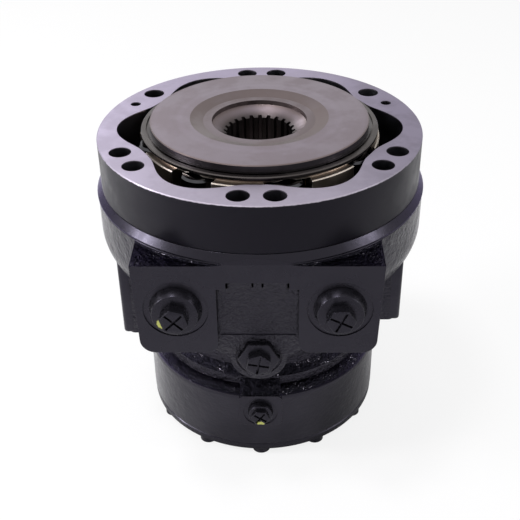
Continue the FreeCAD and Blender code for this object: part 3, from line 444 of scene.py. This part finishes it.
@dataclass(frozen=True)
class BlockSteel(Finish):
    """Cylinder block: turned purple-grey face, brown oil in the dish, painted shade on its slopes, in the bore and on
    the upright wall, and a painted highlight along the rim's edges.
    """

    face: Colour = (0.245, 0.208, 0.245)
    oil: Colour = (0.115, 0.088, 0.078)
    # Painted shade in the splined bore below the face.
    bore_shade: Colour = (0.030, 0.027, 0.026)
    rim: Colour = (0.36, 0.30, 0.25)
    # Painted shade on the upright wall at the rim.
    wall: Colour = (0.060, 0.054, 0.060)
    # Painted highlight along the rim's top edges.
    edge_chips_and_highlight: Colour = (0.80, 0.77, 0.72)
    dish_depth: float = 5.5
    bore_radius: float = 34.0
    rim_radius: float = 79.0

    def material(self) -> bpy.types.Material:
        """Return the finished material."""
        material, graph, shader = self.begin()
        rings = self.effect(graph, Effect.TURNED, Pitch=0.8)
        film = self.effect(graph, Effect.CLOUD, Size=26.0)
        x, y, z = graph.parts(graph.millimetres())
        squares = graph.math("ADD", graph.math("MULTIPLY", x, x), graph.math("MULTIPLY", y, y))
        radius = graph.math("SQRT", squares)
        _, _, upright = graph.parts(graph.add("ShaderNodeNewGeometry").outputs["True Normal"])
        # Painted shade: slopes of the dish are made darker and browner than the flat face; lower parts of the dish
        # carry brown oil.
        slope_shade = graph.math("MULTIPLY", graph.span(upright, 0.999, 0.97), graph.span(z, 0.5, 2.0))
        lowered = graph.math("MAXIMUM", graph.span(z, 7.7, self.dish_depth - 0.4), slope_shade)
        # Painted shade in the bore below the face.
        bore_shade_mask = graph.math("MULTIPLY", graph.span(z, 2.4, -3.0), graph.span(radius, self.bore_radius, 20.0))
        outside = graph.math("MULTIPLY", graph.span(radius, 60.0, self.rim_radius), graph.span(z, -1.0, -2.6))
        worn = graph.math("MULTIPLY", rings.outputs["Tone"], 0.55)
        smear = graph.math("ADD", graph.math("MULTIPLY", film.outputs["Mask"], 0.22), worn)
        # Brown oil in the dish and random smears, plus the painted slope shade.
        brown = graph.math("ADD", graph.math("MULTIPLY", lowered, 0.35), smear, clamp=True)
        brown = graph.math("ADD", brown, graph.math("MULTIPLY", slope_shade, 0.28), clamp=True)
        face = graph.mix(graph.math("SUBTRACT", brown, 0.2, clamp=True), self.face, self.oil)
        # Painted shade on the upright wall.
        upper = graph.math("MULTIPLY", graph.span(radius, 70.0, 74.0), graph.span(z, 0.0, 0.6))
        wall_shade_mask = graph.math("MULTIPLY", upper, graph.span(upright, 0.5, 0.2))
        with_wall_and_bore_shade = graph.mix(wall_shade_mask, graph.mix(bore_shade_mask, face, self.bore_shade), self.wall)
        shaded = graph.mix(outside, with_wall_and_bore_shade, self.rim)
        # Painted highlight: the rim's edges are made nearly white.
        edges = self.effect(graph, Effect.WEAR, Width=0.0007, Cover=1.0)
        edge_highlight_mask = graph.math("MULTIPLY", edges.outputs["Mask"], outside)
        graph.feed(shader.inputs["Base Color"], graph.mix(edge_highlight_mask, shaded, self.edge_chips_and_highlight))
        graph.feed(shader.inputs["Roughness"], graph.span(film.outputs["Mask"], 0.0, 1.0, 0.33, 0.46))
        shader.inputs["Metallic"].default_value = 1.0
        self.bump(graph, shader, rings.outputs["Height"], 0.02)
        return material


@dataclass(frozen=True)
class CastPaint(Finish):
    """Glossy black paint over a casting, smooth where the metal below was machined, with painted shade and painted
    glints on the up-facing cast tops.
    """

    paint: Colour = (0.0045, 0.0042, 0.0056)
    dust: Colour = (0.011, 0.0105, 0.013)
    band: Colour = (0.024, 0.0225, 0.029)
    bare: Colour = (0.16, 0.155, 0.165)
    # The next two colours are painted shade on the up-facing cast tops and painted glints on them.
    top_shade: Colour = (0.0065, 0.0062, 0.0088)
    glint: Colour = (0.30, 0.285, 0.33)
    gloss: float = 0.34
    port_face: float = -114.0
    boss_face: float = -90.0
    seat_height: float = -40.6
    grain: float = 2.0
    relief: float = 1.3
    edge_round: float = 0.5
    dressed_depth: float = 172.0

    def machined(self, graph: Graph) -> Socket:
        """Return the mask of the machined faces.

        Args:
            graph: Graph of the material.

        Returns:
            Mask, 1 on machined metal.
        """
        x, y, z = graph.parts(graph.millimetres())
        _, toward, _ = graph.parts(graph.add("ShaderNodeNewGeometry").outputs["True Normal"])
        front = graph.span(toward, -0.9, -0.98)
        port = graph.math("MULTIPLY", front, graph.span(y, self.port_face + 1.6, self.port_face + 1.1))
        low = graph.math("MULTIPLY", front, graph.span(z, -166.0, -168.0))
        boss = graph.math("MULTIPLY", low, graph.span(y, self.boss_face + 1.4, self.boss_face + 1.0))
        seat = graph.span(z, self.seat_height - 0.3, self.seat_height)
        return graph.math("MAXIMUM", graph.math("MAXIMUM", port, boss), seat)

    @staticmethod
    def shaded_tops(graph: Graph, rough: Socket) -> tuple[Socket, Socket]:
        """Return the masks of the up-facing cast tops, which are painted black as shade, and of the painted glints on
        them.

        Args:
            graph: Graph of the material.
            rough: Mask of the cast skin.

        Returns:
            Mask of the painted top shade and mask of the painted glints.
        """
        _, _, upright = graph.parts(graph.add("ShaderNodeNewGeometry").outputs["Normal"])
        up = graph.math("MULTIPLY", graph.span(upright, 0.22, 0.42), rough)
        place = graph.millimetres()
        flecks = graph.span(graph.noise(place, 1.1, 2.0, 0.65), 0.61, 0.68)
        groups = graph.span(graph.noise(place, 12.0, 2.0), 0.48, 0.58)
        return up, graph.math("MULTIPLY", up, graph.math("MULTIPLY", flecks, groups))

    def material(self) -> bpy.types.Material:
        """Return the finished material."""
        material, graph, shader = self.begin()
        smooth = self.machined(graph)
        rough = graph.math("SUBTRACT", 1.0, smooth)
        _, _, z = graph.parts(graph.millimetres())
        band = graph.span(z, self.seat_height - 0.3, self.seat_height)
        skin = self.effect(graph, Effect.CAST, Grain=self.grain)
        film = self.effect(graph, Effect.CLOUD, Size=18.0)
        worn = self.effect(graph, Effect.WEAR, Width=0.0005, Cover=0.22)
        dusty = graph.math("MULTIPLY", film.outputs["Mask"], 0.35)
        coat = graph.mix(dusty, self.paint, self.dust)
        edge_chips_and_highlight = graph.mix(worn.outputs["Mask"], coat, self.bare)
        # Painted shade and painted glints: up-facing cast skin becomes near-black metal, dotted with glints of
        # lighter metal.
        up, glints = self.shaded_tops(graph, rough)
        topped = graph.mix(glints, graph.mix(up, edge_chips_and_highlight, self.top_shade), self.glint)
        graph.feed(shader.inputs["Base Color"], graph.mix(band, topped, self.band))
        graph.feed(shader.inputs["Metallic"], graph.math("MAXIMUM", band, up))
        gloss = graph.span(film.outputs["Mask"], 0.0, 1.0, 0.13, 0.21)
        plainer = graph.math("ADD", gloss, graph.math("MULTIPLY", smooth, 0.13))
        graph.feed(shader.inputs["Roughness"], plainer)
        self.varnish(shader, self.gloss, PAINT_TINT)
        dressed = graph.span(z, -self.dressed_depth, 2.0 - self.dressed_depth, 0.14, 1.0)
        amount = graph.math("ADD", graph.math("MULTIPLY", rough, dressed), 0.03)
        height = graph.math("MULTIPLY", skin.outputs["Height"], amount)
        self.bump(graph, shader, height, self.relief, self.edge_round)
        return material


@dataclass(frozen=True)
class PlainPaint(Finish):
    """Black paint or blackened metal with faint unevenness and worn edges."""

    colour: Colour = (0.0050, 0.0047, 0.0062)
    bare: Colour = (0.08, 0.08, 0.085)
    roughness: float = 0.30
    relief: float = 0.03
    wear: float = 0.2
    gloss: float = 0.28

    def material(self) -> bpy.types.Material:
        """Return the finished material."""
        material, graph, shader = self.begin()
        film = self.effect(graph, Effect.CLOUD, Size=14.0)
        worn = self.effect(graph, Effect.WEAR, Width=0.0005, Cover=self.wear)
        graph.feed(shader.inputs["Base Color"], graph.mix(worn.outputs["Mask"], self.colour, self.bare))
        low, high = self.roughness - 0.05, self.roughness + 0.08
        graph.feed(shader.inputs["Roughness"], graph.span(film.outputs["Mask"], 0.0, 1.0, low, high))
        ripple = graph.noise(graph.millimetres(), 1.6, 2.0)
        self.varnish(shader, self.gloss, PAINT_TINT)
        self.bump(graph, shader, ripple, self.relief, 0.4)
        return material


@dataclass(frozen=True)
class Oversprayed(Finish):
    """Yellow-green plastic under black overspray that missed one side."""

    plastic: Colour = (0.50, 0.52, 0.13)
    overspray: Colour = (0.0050, 0.0048, 0.0062)
    bare_place: tuple[float, float, float] = (0.0, 0.0, 0.0)
    bare_radius: float = 0.0
    gloss: float = 0.30

    def material(self) -> bpy.types.Material:
        """Return the finished material."""
        material, graph, shader = self.begin()
        place = graph.millimetres()
        away = graph.add("ShaderNodeVectorMath", operation="DISTANCE")
        graph.feed(away.inputs[0], place)
        away.inputs[1].default_value = self.bare_place
        fray = graph.math("MULTIPLY", graph.noise(place, 1.4, 3.0, 0.7), 3.0)
        reach = graph.math("ADD", away.outputs["Value"], fray)
        missed = graph.span(reach, self.bare_radius + 1.5, self.bare_radius + 0.9)
        if not self.bare_radius:
            missed = graph.span(reach, -1.0, -2.0)
        graph.feed(shader.inputs["Base Color"], graph.mix(missed, self.overspray, self.plastic))
        film = self.effect(graph, Effect.CLOUD, Size=5.0)
        graph.feed(shader.inputs["Roughness"], graph.span(film.outputs["Mask"], 0.0, 1.0, 0.24, 0.36))
        self.varnish(shader, self.gloss, PAINT_TINT)
        self.bump(graph, shader, graph.noise(place, 0.7, 2.0), 0.03)
        return material


@dataclass(frozen=True)
class SoftRubber(Finish):
    """Matt seal rubber."""

    colour: Colour = (0.016, 0.016, 0.017)

    def material(self) -> bpy.types.Material:
        """Return the finished material."""
        material, graph, shader = self.begin()
        film = self.effect(graph, Effect.CLOUD, Size=8.0)
        lighter = tuple(part * 1.8 for part in self.colour)
        graph.feed(shader.inputs["Base Color"], graph.mix(film.outputs["Mask"], self.colour, lighter))
        graph.feed(shader.inputs["Roughness"], graph.span(film.outputs["Mask"], 0.0, 1.0, 0.55, 0.7))
        self.bump(graph, shader, graph.noise(graph.millimetres(), 0.5, 2.0), 0.02)
        return material


@dataclass(frozen=True)
class Lining(Finish):
    """Pressed friction lining with short fibres."""

    colour: Colour = (0.16, 0.115, 0.07)
    fibre: Colour = (0.30, 0.24, 0.16)

    def material(self) -> bpy.types.Material:
        """Return the finished material."""
        material, graph, shader = self.begin()
        place = graph.millimetres()
        fibres = graph.span(graph.noise(place, 0.8, 4.0, 0.7), 0.5, 0.7)
        graph.feed(shader.inputs["Base Color"], graph.mix(fibres, self.colour, self.fibre))
        graph.feed(shader.inputs["Roughness"], graph.span(fibres, 0.0, 1.0, 0.8, 0.65))
        self.bump(graph, shader, fibres, 0.05)
        return material


class Bench:
    """Short calls for modelling with Blender's operators. Sizes are in millimetres."""

    @staticmethod
    def prism(sides: int, radii: tuple[float, float], low: float, high: float,
              turn: float = 0.0) -> bpy.types.Object:
        """Add an upright prism or a tapered disc.

        Args:
            sides: Number of its sides.
            radii: Corner radius at the bottom and at the top.
            low: Height of its bottom.
            high: Height of its top.
            turn: Turn about its axis in degrees.

        Returns:
            The new object.
        """
        bpy.ops.object.select_all(action="DESELECT")
        bpy.ops.mesh.primitive_cone_add(
            vertices=sides, radius1=radii[0] * MM, radius2=radii[1] * MM, depth=(high - low) * MM,
            location=(0, 0, (low + high) / 2 * MM), rotation=(0, 0, math.radians(turn)))
        bpy.ops.object.transform_apply(location=True, rotation=True, scale=True)
        return bpy.context.object

    @staticmethod
    def bar(size: tuple[float, float, float], middle_height: float, turn: float) -> bpy.types.Object:
        """Add a flat bar through the axis.

        Args:
            size: Its length, width and height.
            middle_height: Height of its middle.
            turn: Turn about the axis in degrees.

        Returns:
            The new object.
        """
        bpy.ops.object.select_all(action="DESELECT")
        bpy.ops.mesh.primitive_cube_add(
            size=1, scale=[part * MM for part in size],
            location=(0, 0, middle_height * MM), rotation=(0, 0, math.radians(turn)))
        bpy.ops.object.transform_apply(location=True, rotation=True, scale=True)
        return bpy.context.object

    @staticmethod
    def block(size: tuple[float, float, float], middle: tuple[float, float, float]) -> bpy.types.Object:
        """Add an upright block.

        Args:
            size: Its size along X, Y and Z.
            middle: Place of its middle.

        Returns:
            The new object.
        """
        bpy.ops.object.select_all(action="DESELECT")
        bpy.ops.mesh.primitive_cube_add(
            size=1, scale=[part * MM for part in size], location=[part * MM for part in middle])
        bpy.ops.object.transform_apply(location=True, rotation=True, scale=True)
        return bpy.context.object

    @staticmethod
    def use(piece: bpy.types.Object) -> None:
        """Make a piece the only selected and active one."""
        bpy.ops.object.select_all(action="DESELECT")
        piece.select_set(True)
        bpy.context.view_layer.objects.active = piece

    @classmethod
    def stem(cls, piece: bpy.types.Object, inset: float, length: float) -> None:
        """Draw a shank out of the bottom face.

        Args:
            piece: Piece to change.
            inset: Distance from the edge of the face to the shank.
            length: Length of the shank.
        """
        cls.use(piece)
        bpy.ops.object.mode_set(mode="EDIT")
        mesh = bmesh.from_edit_mesh(piece.data)
        for face in mesh.faces:
            face.select_set(face.normal.z < -0.9)
        bmesh.update_edit_mesh(piece.data)
        bpy.ops.mesh.inset(thickness=inset * MM)
        bpy.ops.mesh.extrude_region_move(TRANSFORM_OT_translate={"value": (0, 0, -length * MM)})
        bpy.ops.object.mode_set(mode="OBJECT")

    @classmethod
    def soften(cls, piece: bpy.types.Object, width: float, segments: int = 3) -> None:
        """Round the sharp edges.

        Args:
            piece: Piece to change.
            width: Width of the rounding.
            segments: Number of its steps.
        """
        cls.use(piece)
        bevel = piece.modifiers.new("round", "BEVEL")
        bevel.width = width * MM
        bevel.segments = segments
        bevel.limit_method = "ANGLE"
        bevel.angle_limit = math.radians(28)
        bpy.ops.object.modifier_apply(modifier=bevel.name)

    @classmethod
    def cut(cls, piece: bpy.types.Object, tool: bpy.types.Object) -> None:
        """Take a tool's space out of a piece and delete the tool.

        Args:
            piece: Piece to change.
            tool: Object that is cut away.
        """
        cls.use(piece)
        cutter = piece.modifiers.new("cut", "BOOLEAN")
        cutter.operation = "DIFFERENCE"
        cutter.solver = "EXACT"
        cutter.object = tool
        bpy.ops.object.modifier_apply(modifier=cutter.name)
        bpy.data.objects.remove(tool)

    @classmethod
    def join(cls, first: bpy.types.Object, *others: bpy.types.Object) -> bpy.types.Object:
        """Join objects into the first one.

        Args:
            first: Object that stays.
            others: Objects that go into it.

        Returns:
            The joined object.
        """
        cls.use(first)
        for other in others:
            other.select_set(True)
        bpy.ops.object.join()
        return first

    @classmethod
    def place(cls, piece: bpy.types.Object, name: str, turn: tuple[float, float, float],
              spot: Vector) -> bpy.types.Object:
        """Turn and move a piece, fix its place in its mesh and name it.

        Args:
            piece: Piece to place.
            name: Its name.
            turn: Turns about X, Y and Z in degrees.
            spot: Place of its own origin, in metres.

        Returns:
            The piece.
        """
        cls.use(piece)
        piece.rotation_euler = [math.radians(part) for part in turn]
        piece.location = spot
        bpy.ops.object.transform_apply(location=True, rotation=True, scale=True)
        bpy.ops.object.shade_smooth_by_angle(angle=math.radians(32))
        piece.name = name
        piece.data.name = name
        return piece


@dataclass
class TransitPlug:
    """Plastic plug of one port: shank, flange and hexagon head with a cross slot."""

    node: str
    flange_sides: int
    flange_height: float
    flange_taper: float
    head_flats: float
    head_height: float
    head_turn: float
    shank_radius: float
    slot_width: float = 1.5
    slot_depth: float = 2.0
    slot_inset: float = 0.5
    head_round: float = 0.45
    slot_turns: tuple[float, float] = (30.0, 120.0)

    def build(self, material: bpy.types.Material) -> bpy.types.Object:
        """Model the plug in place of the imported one.

        Args:
            material: Its finish.

        Returns:
            The finished piece.
        """
        low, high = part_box(self.node)
        foot = -(self.flange_height + self.head_height)
        root = (high.x - low.x) / 2 / MM
        shank = (high.y - low.y) / MM + foot
        top = foot + self.flange_height
        flange = Bench.prism(self.flange_sides, (root, root - self.flange_taper), foot, top, 30.0)
        Bench.stem(flange, root * math.cos(math.pi / self.flange_sides) - self.shank_radius, shank)
        Bench.soften(flange, self.head_round)
        corner = self.head_flats / math.sqrt(3)
        head = Bench.prism(6, (corner, corner), top - 1.0, 0.0, self.head_turn + 30.0)
        Bench.soften(head, self.head_round)
        slot = (self.head_flats - 2 * self.slot_inset, self.slot_width, 2 * self.slot_depth)
        for turn in self.slot_turns:
            Bench.cut(head, Bench.bar(slot, 0.0, self.head_turn + turn))
        piece = Bench.join(flange, head)
        spot = Vector(((low.x + high.x) / 2, low.y, (low.z + high.z) / 2))
        Bench.place(piece, f"{self.node}_moulded", (90.0, 0.0, 0.0), spot)
        piece.data.materials.append(material)
        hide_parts(self.node)
        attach(piece, "housing")
        log.info("modelled %s", piece.name)
        return piece


@dataclass
class SpoolEndPlugs:
    """The two screwed plugs of the spool bore, flush with their lugs."""

    node: str = "spool_end_plugs"
    lug_face: float = 100.0
    head_radius: float = 13.6
    head_height: float = 1.4
    shank_radius: float = 7.8
    shank_length: float = 15.0
    socket_flats: float = 8.0
    socket_depth: float = 6.0

    def build(self, material: bpy.types.Material) -> bpy.types.Object:
        """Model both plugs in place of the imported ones.

        Args:
            material: Their finish.

        Returns:
            The finished piece.
        """
        low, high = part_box(self.node)
        plugs = []
        for side in (-1, 1):
            radii = (self.head_radius, self.head_radius)
            plug = Bench.prism(72, radii, -self.head_height, 0.0)
            Bench.stem(plug, self.head_radius - self.shank_radius, self.shank_length)
            Bench.soften(plug, 0.4)
            corner = self.socket_flats / math.sqrt(3)
            Bench.cut(plug, Bench.prism(6, (corner, corner), -self.socket_depth, 1.0))
            spot = Vector((side * self.lug_face * MM, (low.y + high.y) / 2, (low.z + high.z) / 2))
            plugs.append(Bench.place(plug, f"plug_{side}", (0.0, side * 90.0, 0.0), spot))
        piece = Bench.join(plugs[0], plugs[1])
        piece.name = f"{self.node}_flush"
        piece.data.materials.append(material)
        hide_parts(self.node)
        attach(piece, "housing")
        log.info("modelled %s", piece.name)
        return piece


@dataclass
class LugPads:
    """Thin pads over the outer faces of the side lugs, with the crisp edges of the casting."""

    inner_width: float = 91.0
    outer_width: float = 100.2
    front: float = 53.2
    back: float = 11.8
    top_depth: float = 69.8
    bottom_depths: tuple[float, float] = (140.2, 128.2)
    hole_radius: float = 14.0
    edge_round: float = 2.6

    def build(self, material: bpy.types.Material) -> bpy.types.Object:
        """Model both pads with the seat of each end plug cut through.

        Args:
            material: Their finish.

        Returns:
            The finished piece.
        """
        low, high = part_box("spool_end_plugs")
        middle = ((low.y + high.y) / 2 / MM, (low.z + high.z) / 2 / MM)
        pads = []
        for side, bottom_depth in zip((-1, 1), self.bottom_depths):
            width = self.outer_width - self.inner_width
            size = (width, self.front - self.back, bottom_depth - self.top_depth)
            at = (side * (self.inner_width + width / 2), -(self.front + self.back) / 2,
                  -(bottom_depth + self.top_depth) / 2)
            pad = Bench.block(size, at)
            Bench.soften(pad, self.edge_round)
            drill = Bench.prism(72, (self.hole_radius, self.hole_radius), -20.0, 20.0)
            spot = Vector((at[0] * MM, middle[0] * MM, middle[1] * MM))
            Bench.cut(pad, Bench.place(drill, "drill", (0.0, 90.0, 0.0), spot))
            pads.append(Bench.place(pad, f"pad_{side}", (0.0, 0.0, 0.0), Vector((0.0, 0.0, 0.0))))
        piece = Bench.join(pads[0], pads[1])
        piece.name = "lug_pads"
        piece.data.materials.append(material)
        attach(piece, "housing")
        log.info("modelled %s", piece.name)
        return piece


@dataclass
class BossShelf:
    """Sloping top of the brake port boss that runs back into the brake's shoulder."""

    half_width: float = 14.6
    front: float = 89.6
    reach: float = 10.4
    front_depth: float = 169.4
    rise: float = 8.6
    foot: float = 4.0
    edge_round: float = 0.8

    def build(self, material: bpy.types.Material) -> bpy.types.Object:
        """Model the shelf as a block whose top back edge is drawn up.

        Args:
            material: Its finish.

        Returns:
            The finished piece.
        """
        size = (2 * self.half_width, self.reach, self.foot)
        at = (0.0, -self.front + self.reach / 2, -self.front_depth - self.foot / 2)
        piece = Bench.block(size, at)
        Bench.use(piece)
        bpy.ops.object.mode_set(mode="EDIT")
        mesh = bmesh.from_edit_mesh(piece.data)
        back = (-self.front + self.reach - 0.1) * MM
        top = (-self.front_depth - 0.1) * MM
        for vertex in mesh.verts:
            vertex.select_set(vertex.co.y > back and vertex.co.z > top)
        mesh.select_flush_mode()
        bmesh.update_edit_mesh(piece.data)
        bpy.ops.transform.translate(value=(0, 0, self.rise * MM))
        bpy.ops.object.mode_set(mode="OBJECT")
        Bench.soften(piece, self.edge_round)
        Bench.place(piece, "boss_shelf", (0.0, 0.0, 0.0), Vector((0.0, 0.0, 0.0)))
        piece.data.materials.append(material)
        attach(piece, "housing")
        log.info("modelled %s", piece.name)
        return piece


def paint_node(node: str, material: bpy.types.Material) -> None:
    """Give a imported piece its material.

    Args:
        node: Name of the piece.
        material: Material for all of it.
    """
    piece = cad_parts[node]
    if not piece.material_slots:
        piece.data.materials.append(material)
    for slot in piece.material_slots:
        slot.material = material


@dataclass
class CamRing:
    """The ring with the cam track, its pins and its seal."""

    nodes: dict[str, Finish] = field(default_factory=lambda: {
        "cam_ring": RingSteel("ring_ground_and_painted"),
        "ring_locating_pins": TurnedSteel("pin_steel", roughness=0.25),
        "ring_seal": SoftRubber("ring_seal_rubber"),
    })

    def dress(self) -> None:
        """Give each piece its finish."""
        for node, finish in self.nodes.items():
            paint_node(node, finish.material())


@dataclass
class Rotor:
    """Cylinder block with its rings and eight pistons with rollers."""

    bore_count: int = 8

    def dress(self) -> None:
        """Give each piece its finish."""
        paint_node("cylinder_block", BlockSteel("block_steel").material())
        guide = TurnedSteel("guide_ring_steel", colour=(0.135, 0.122, 0.12), stain=(0.07, 0.062, 0.06),
                            roughness=0.30)
        paint_node("guide_ring", guide.material())
        retaining = TurnedSteel("retaining_ring_steel", colour=(0.11, 0.102, 0.105),
                                stain=(0.06, 0.055, 0.055), roughness=0.24)
        paint_node("retaining_ring", retaining.material())
        shared = {
            "piston": TurnedSteel("piston_steel", colour=(0.42, 0.41, 0.42), roughness=0.28).material(),
            "piston_ring": SoftRubber("piston_ring_compound", colour=(0.02, 0.018, 0.016)).material(),
            "roller_bush": TurnedSteel("bush_bronze", colour=(0.50, 0.33, 0.14), stain=(0.30, 0.18, 0.08)).material(),
            "roller": TurnedSteel("roller_steel", colour=(0.10, 0.10, 0.105), stain=(0.06, 0.06, 0.065),
                                  roughness=0.14, relief=0.003).material(),
        }
        for number in range(1, self.bore_count + 1):
            for part, material in shared.items():
                paint_node(f"{part}_{number}", material)


@dataclass
class OilSide:
    """Housing casting, distributor, spool and the transit plugs."""

    port_x: float = 52.5
    port_depth: float = 75.0
    brake_port_depth: float = 184.0

    def dress(self) -> None:
        """Give each piece its finish."""
        paint_node("rear_housing", CastPaint("housing_cast_paint").material())
        steel = TurnedSteel("distributor_steel", colour=(0.40, 0.39, 0.40)).material()
        for node in ("flow_distributor", "distributor_pin", "speed_spool"):
            paint_node(node, steel)
        rubber = SoftRubber("distributor_seal_rubber").material()
        paint_node("distributor_seals", rubber)
        spring = TurnedSteel("spring_steel", colour=(0.34, 0.34, 0.35), roughness=0.3).material()
        for node in ("distributor_spring", "spool_spring"):
            paint_node(node, spring)
        SpoolEndPlugs().build(PlainPaint("end_plug_paint").material())
        covered = Oversprayed("covered_plug").material()
        left = Oversprayed("left_plug", bare_place=LEFT_BARE_SPOT, bare_radius=4.2).material()
        low = Oversprayed("brake_plug", bare_place=BRAKE_BARE_SPOT, bare_radius=3.2).material()
        LugPads().build(CastPaint("lug_pad_paint", relief=0.2).material())
        # The shelf's cast finish has dimmer painted glints.
        BossShelf().build(CastPaint("boss_shelf_paint", glint=(0.06, 0.058, 0.066)).material())
        main = {"flange_sides": 72, "flange_height": 7.3, "flange_taper": 2.4, "head_flats": 16.4,
                "head_height": 7.5, "shank_radius": 12.4}
        TransitPlug("main_port_plug_left", head_turn=-74.0, **main).build(left)
        TransitPlug("main_port_plug_right", head_turn=-56.0, **main).build(covered)
        TransitPlug("drain_port_plug", 6, 4.0, 0.6, 14.9, 6.0, -40.0, 8.2).build(covered)
        TransitPlug("brake_port_plug", 72, 4.3, 0.8, 11.5, 3.3, -64.0, 5.9).build(low)


@dataclass
class Brake:
    """Multi-disc brake behind the housing."""

    def dress(self) -> None:
        """Give each piece its finish."""
        steel = TurnedSteel("brake_steel", colour=(0.38, 0.37, 0.38)).material()
        for node in ("brake_shaft", "steel_plates", "brake_piston"):
            paint_node(node, steel)
        paint_node("friction_discs", Lining("friction_lining").material())
        rubber = SoftRubber("brake_seal_rubber").material()
        for node in ("brake_piston_seals", "cover_seal"):
            paint_node(node, rubber)
        spring = TurnedSteel("disc_spring_steel", colour=(0.30, 0.30, 0.31), roughness=0.3)
        paint_node("disc_spring", spring.material())
        paint_node("brake_cover", PlainPaint("cover_paint", relief=0.06).material())
        paint_node("cover_screws", PlainPaint("screw_black", wear=0.35).material())


@dataclass
class Studio:
    """Floor, lamps, world and the camera at the photograph's angle."""

    floor_height: float = -0.228
    floor_reach: float = 3.0
    floor_glow: float = 0.82
    camera_place: Vector = field(default_factory=lambda: Vector((0.0141, -0.5771, 0.2645)))
    camera_right: Vector = field(default_factory=lambda: Vector((0.99976, 0.01770, -0.01311)))
    camera_forward: Vector = field(default_factory=lambda: Vector((-0.02199, 0.83792, -0.54537)))
    lens: float = 62.42
    sensor: float = 36.0

    def build(self) -> None:
        """Set up everything round the object."""
        self.floor()
        self.world()
        self.lamp("softbox_left", (-1.28, -0.22, 0.50), (0.30, 0.42), 14.5)
        self.lamp("softbox_right", (1.25, -0.30, 0.52), (0.24, 0.36), 4.2)
        self.lamp("softbox_top", (-0.35, -0.15, 1.35), (0.26, 0.26), 8.0)
        self.lamp("softbox_back_left", (-0.75, 1.20, 0.62), (0.8, 0.5), 3.0)
        self.camera()

    def floor(self) -> None:
        """Make the plain pale floor."""
        bpy.ops.object.select_all(action="DESELECT")
        bpy.ops.mesh.primitive_plane_add(size=2 * self.floor_reach, location=(0, 0, self.floor_height))
        plane = bpy.context.object
        plane.name = "floor"
        material = bpy.data.materials.new("floor_white")
        material.use_nodes = True
        graph = Graph(material.node_tree)
        shader = material.node_tree.nodes["Principled BSDF"]
        speckle = graph.noise(graph.millimetres(), 60.0, 2.0)
        tone = graph.mix(speckle, (0.93, 0.93, 0.935), (0.95, 0.95, 0.955))
        graph.feed(shader.inputs["Base Color"], tone)
        shader.inputs["Roughness"].default_value = 0.8
        path = graph.add("ShaderNodeLightPath")
        white = graph.add("ShaderNodeEmission")
        blend = graph.add("ShaderNodeMixShader")
        graph.feed(blend.inputs[0], graph.math("MULTIPLY", path.outputs["Is Camera Ray"], self.floor_glow))
        graph.feed(blend.inputs[1], shader.outputs[0])
        graph.feed(blend.inputs[2], white.outputs[0])
        graph.feed(material.node_tree.nodes["Material Output"].inputs["Surface"], blend.outputs[0])
        plane.data.materials.append(material)

    def world(self) -> None:
        """Light the object evenly and show white behind it."""
        world = bpy.data.worlds.new("studio")
        bpy.context.scene.world = world
        world.use_nodes = True
        graph = Graph(world.node_tree)
        background = world.node_tree.nodes["Background"]
        path = graph.add("ShaderNodeLightPath")
        clear = graph.math("MAXIMUM", path.outputs["Is Camera Ray"], path.outputs["Is Transmission Ray"])
        seen = graph.math("MAXIMUM", clear, path.outputs["Is Glossy Ray"])
        graph.feed(background.inputs["Strength"], graph.span(seen, 0.0, 1.0, 0.45, 1.0))
        background.inputs["Color"].default_value = (1.0, 1.0, 1.0, 1.0)

    def lamp(self, name: str, place: tuple, size: tuple, power: float) -> None:
        """Hang a soft lamp that points at the object.

        Args:
            name: Name of the lamp.
            place: Place of its middle.
            size: Its width and height.
            power: Its power in watts.
        """
        light = bpy.data.lights.new(name, "AREA")
        light.shape = "RECTANGLE"
        light.size, light.size_y = size
        light.energy = power
        light.color = (0.985, 0.975, 1.0)
        lamp = bpy.data.objects.new(name, light)
        lamp.location = place
        aim = Vector((0.0, 0.0, -0.06)) - Vector(place)
        lamp.rotation_mode = "QUATERNION"
        lamp.rotation_quaternion = aim.to_track_quat("-Z", "Y")
        bpy.context.scene.collection.objects.link(lamp)

    def camera(self) -> None:
        """Place the camera where the photograph was taken."""
        data = bpy.data.cameras.new("camera")
        data.lens = self.lens
        data.sensor_width = self.sensor
        camera = bpy.data.objects.new("camera", data)
        right = self.camera_right.normalized()
        back = -self.camera_forward.normalized()
        up = back.cross(right)
        turn = Matrix((right, up, back)).transposed()
        camera.matrix_world = Matrix.Translation(self.camera_place) @ turn.to_4x4()
        bpy.context.scene.collection.objects.link(camera)
        bpy.context.scene.camera = camera


def main() -> None:
    """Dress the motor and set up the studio."""
    logging.basicConfig(level=logging.INFO, format="%(message)s")
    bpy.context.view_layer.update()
    bpy.context.scene.view_settings.view_transform = "Standard"
    for assembly in (CamRing(), Rotor(), OilSide(), Brake()):
        assembly.dress()
        log.info("dressed %s", type(assembly).__name__)
    Studio().build()
    log.info("studio ready")
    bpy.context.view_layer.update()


if __name__ == "__main__":
    main()
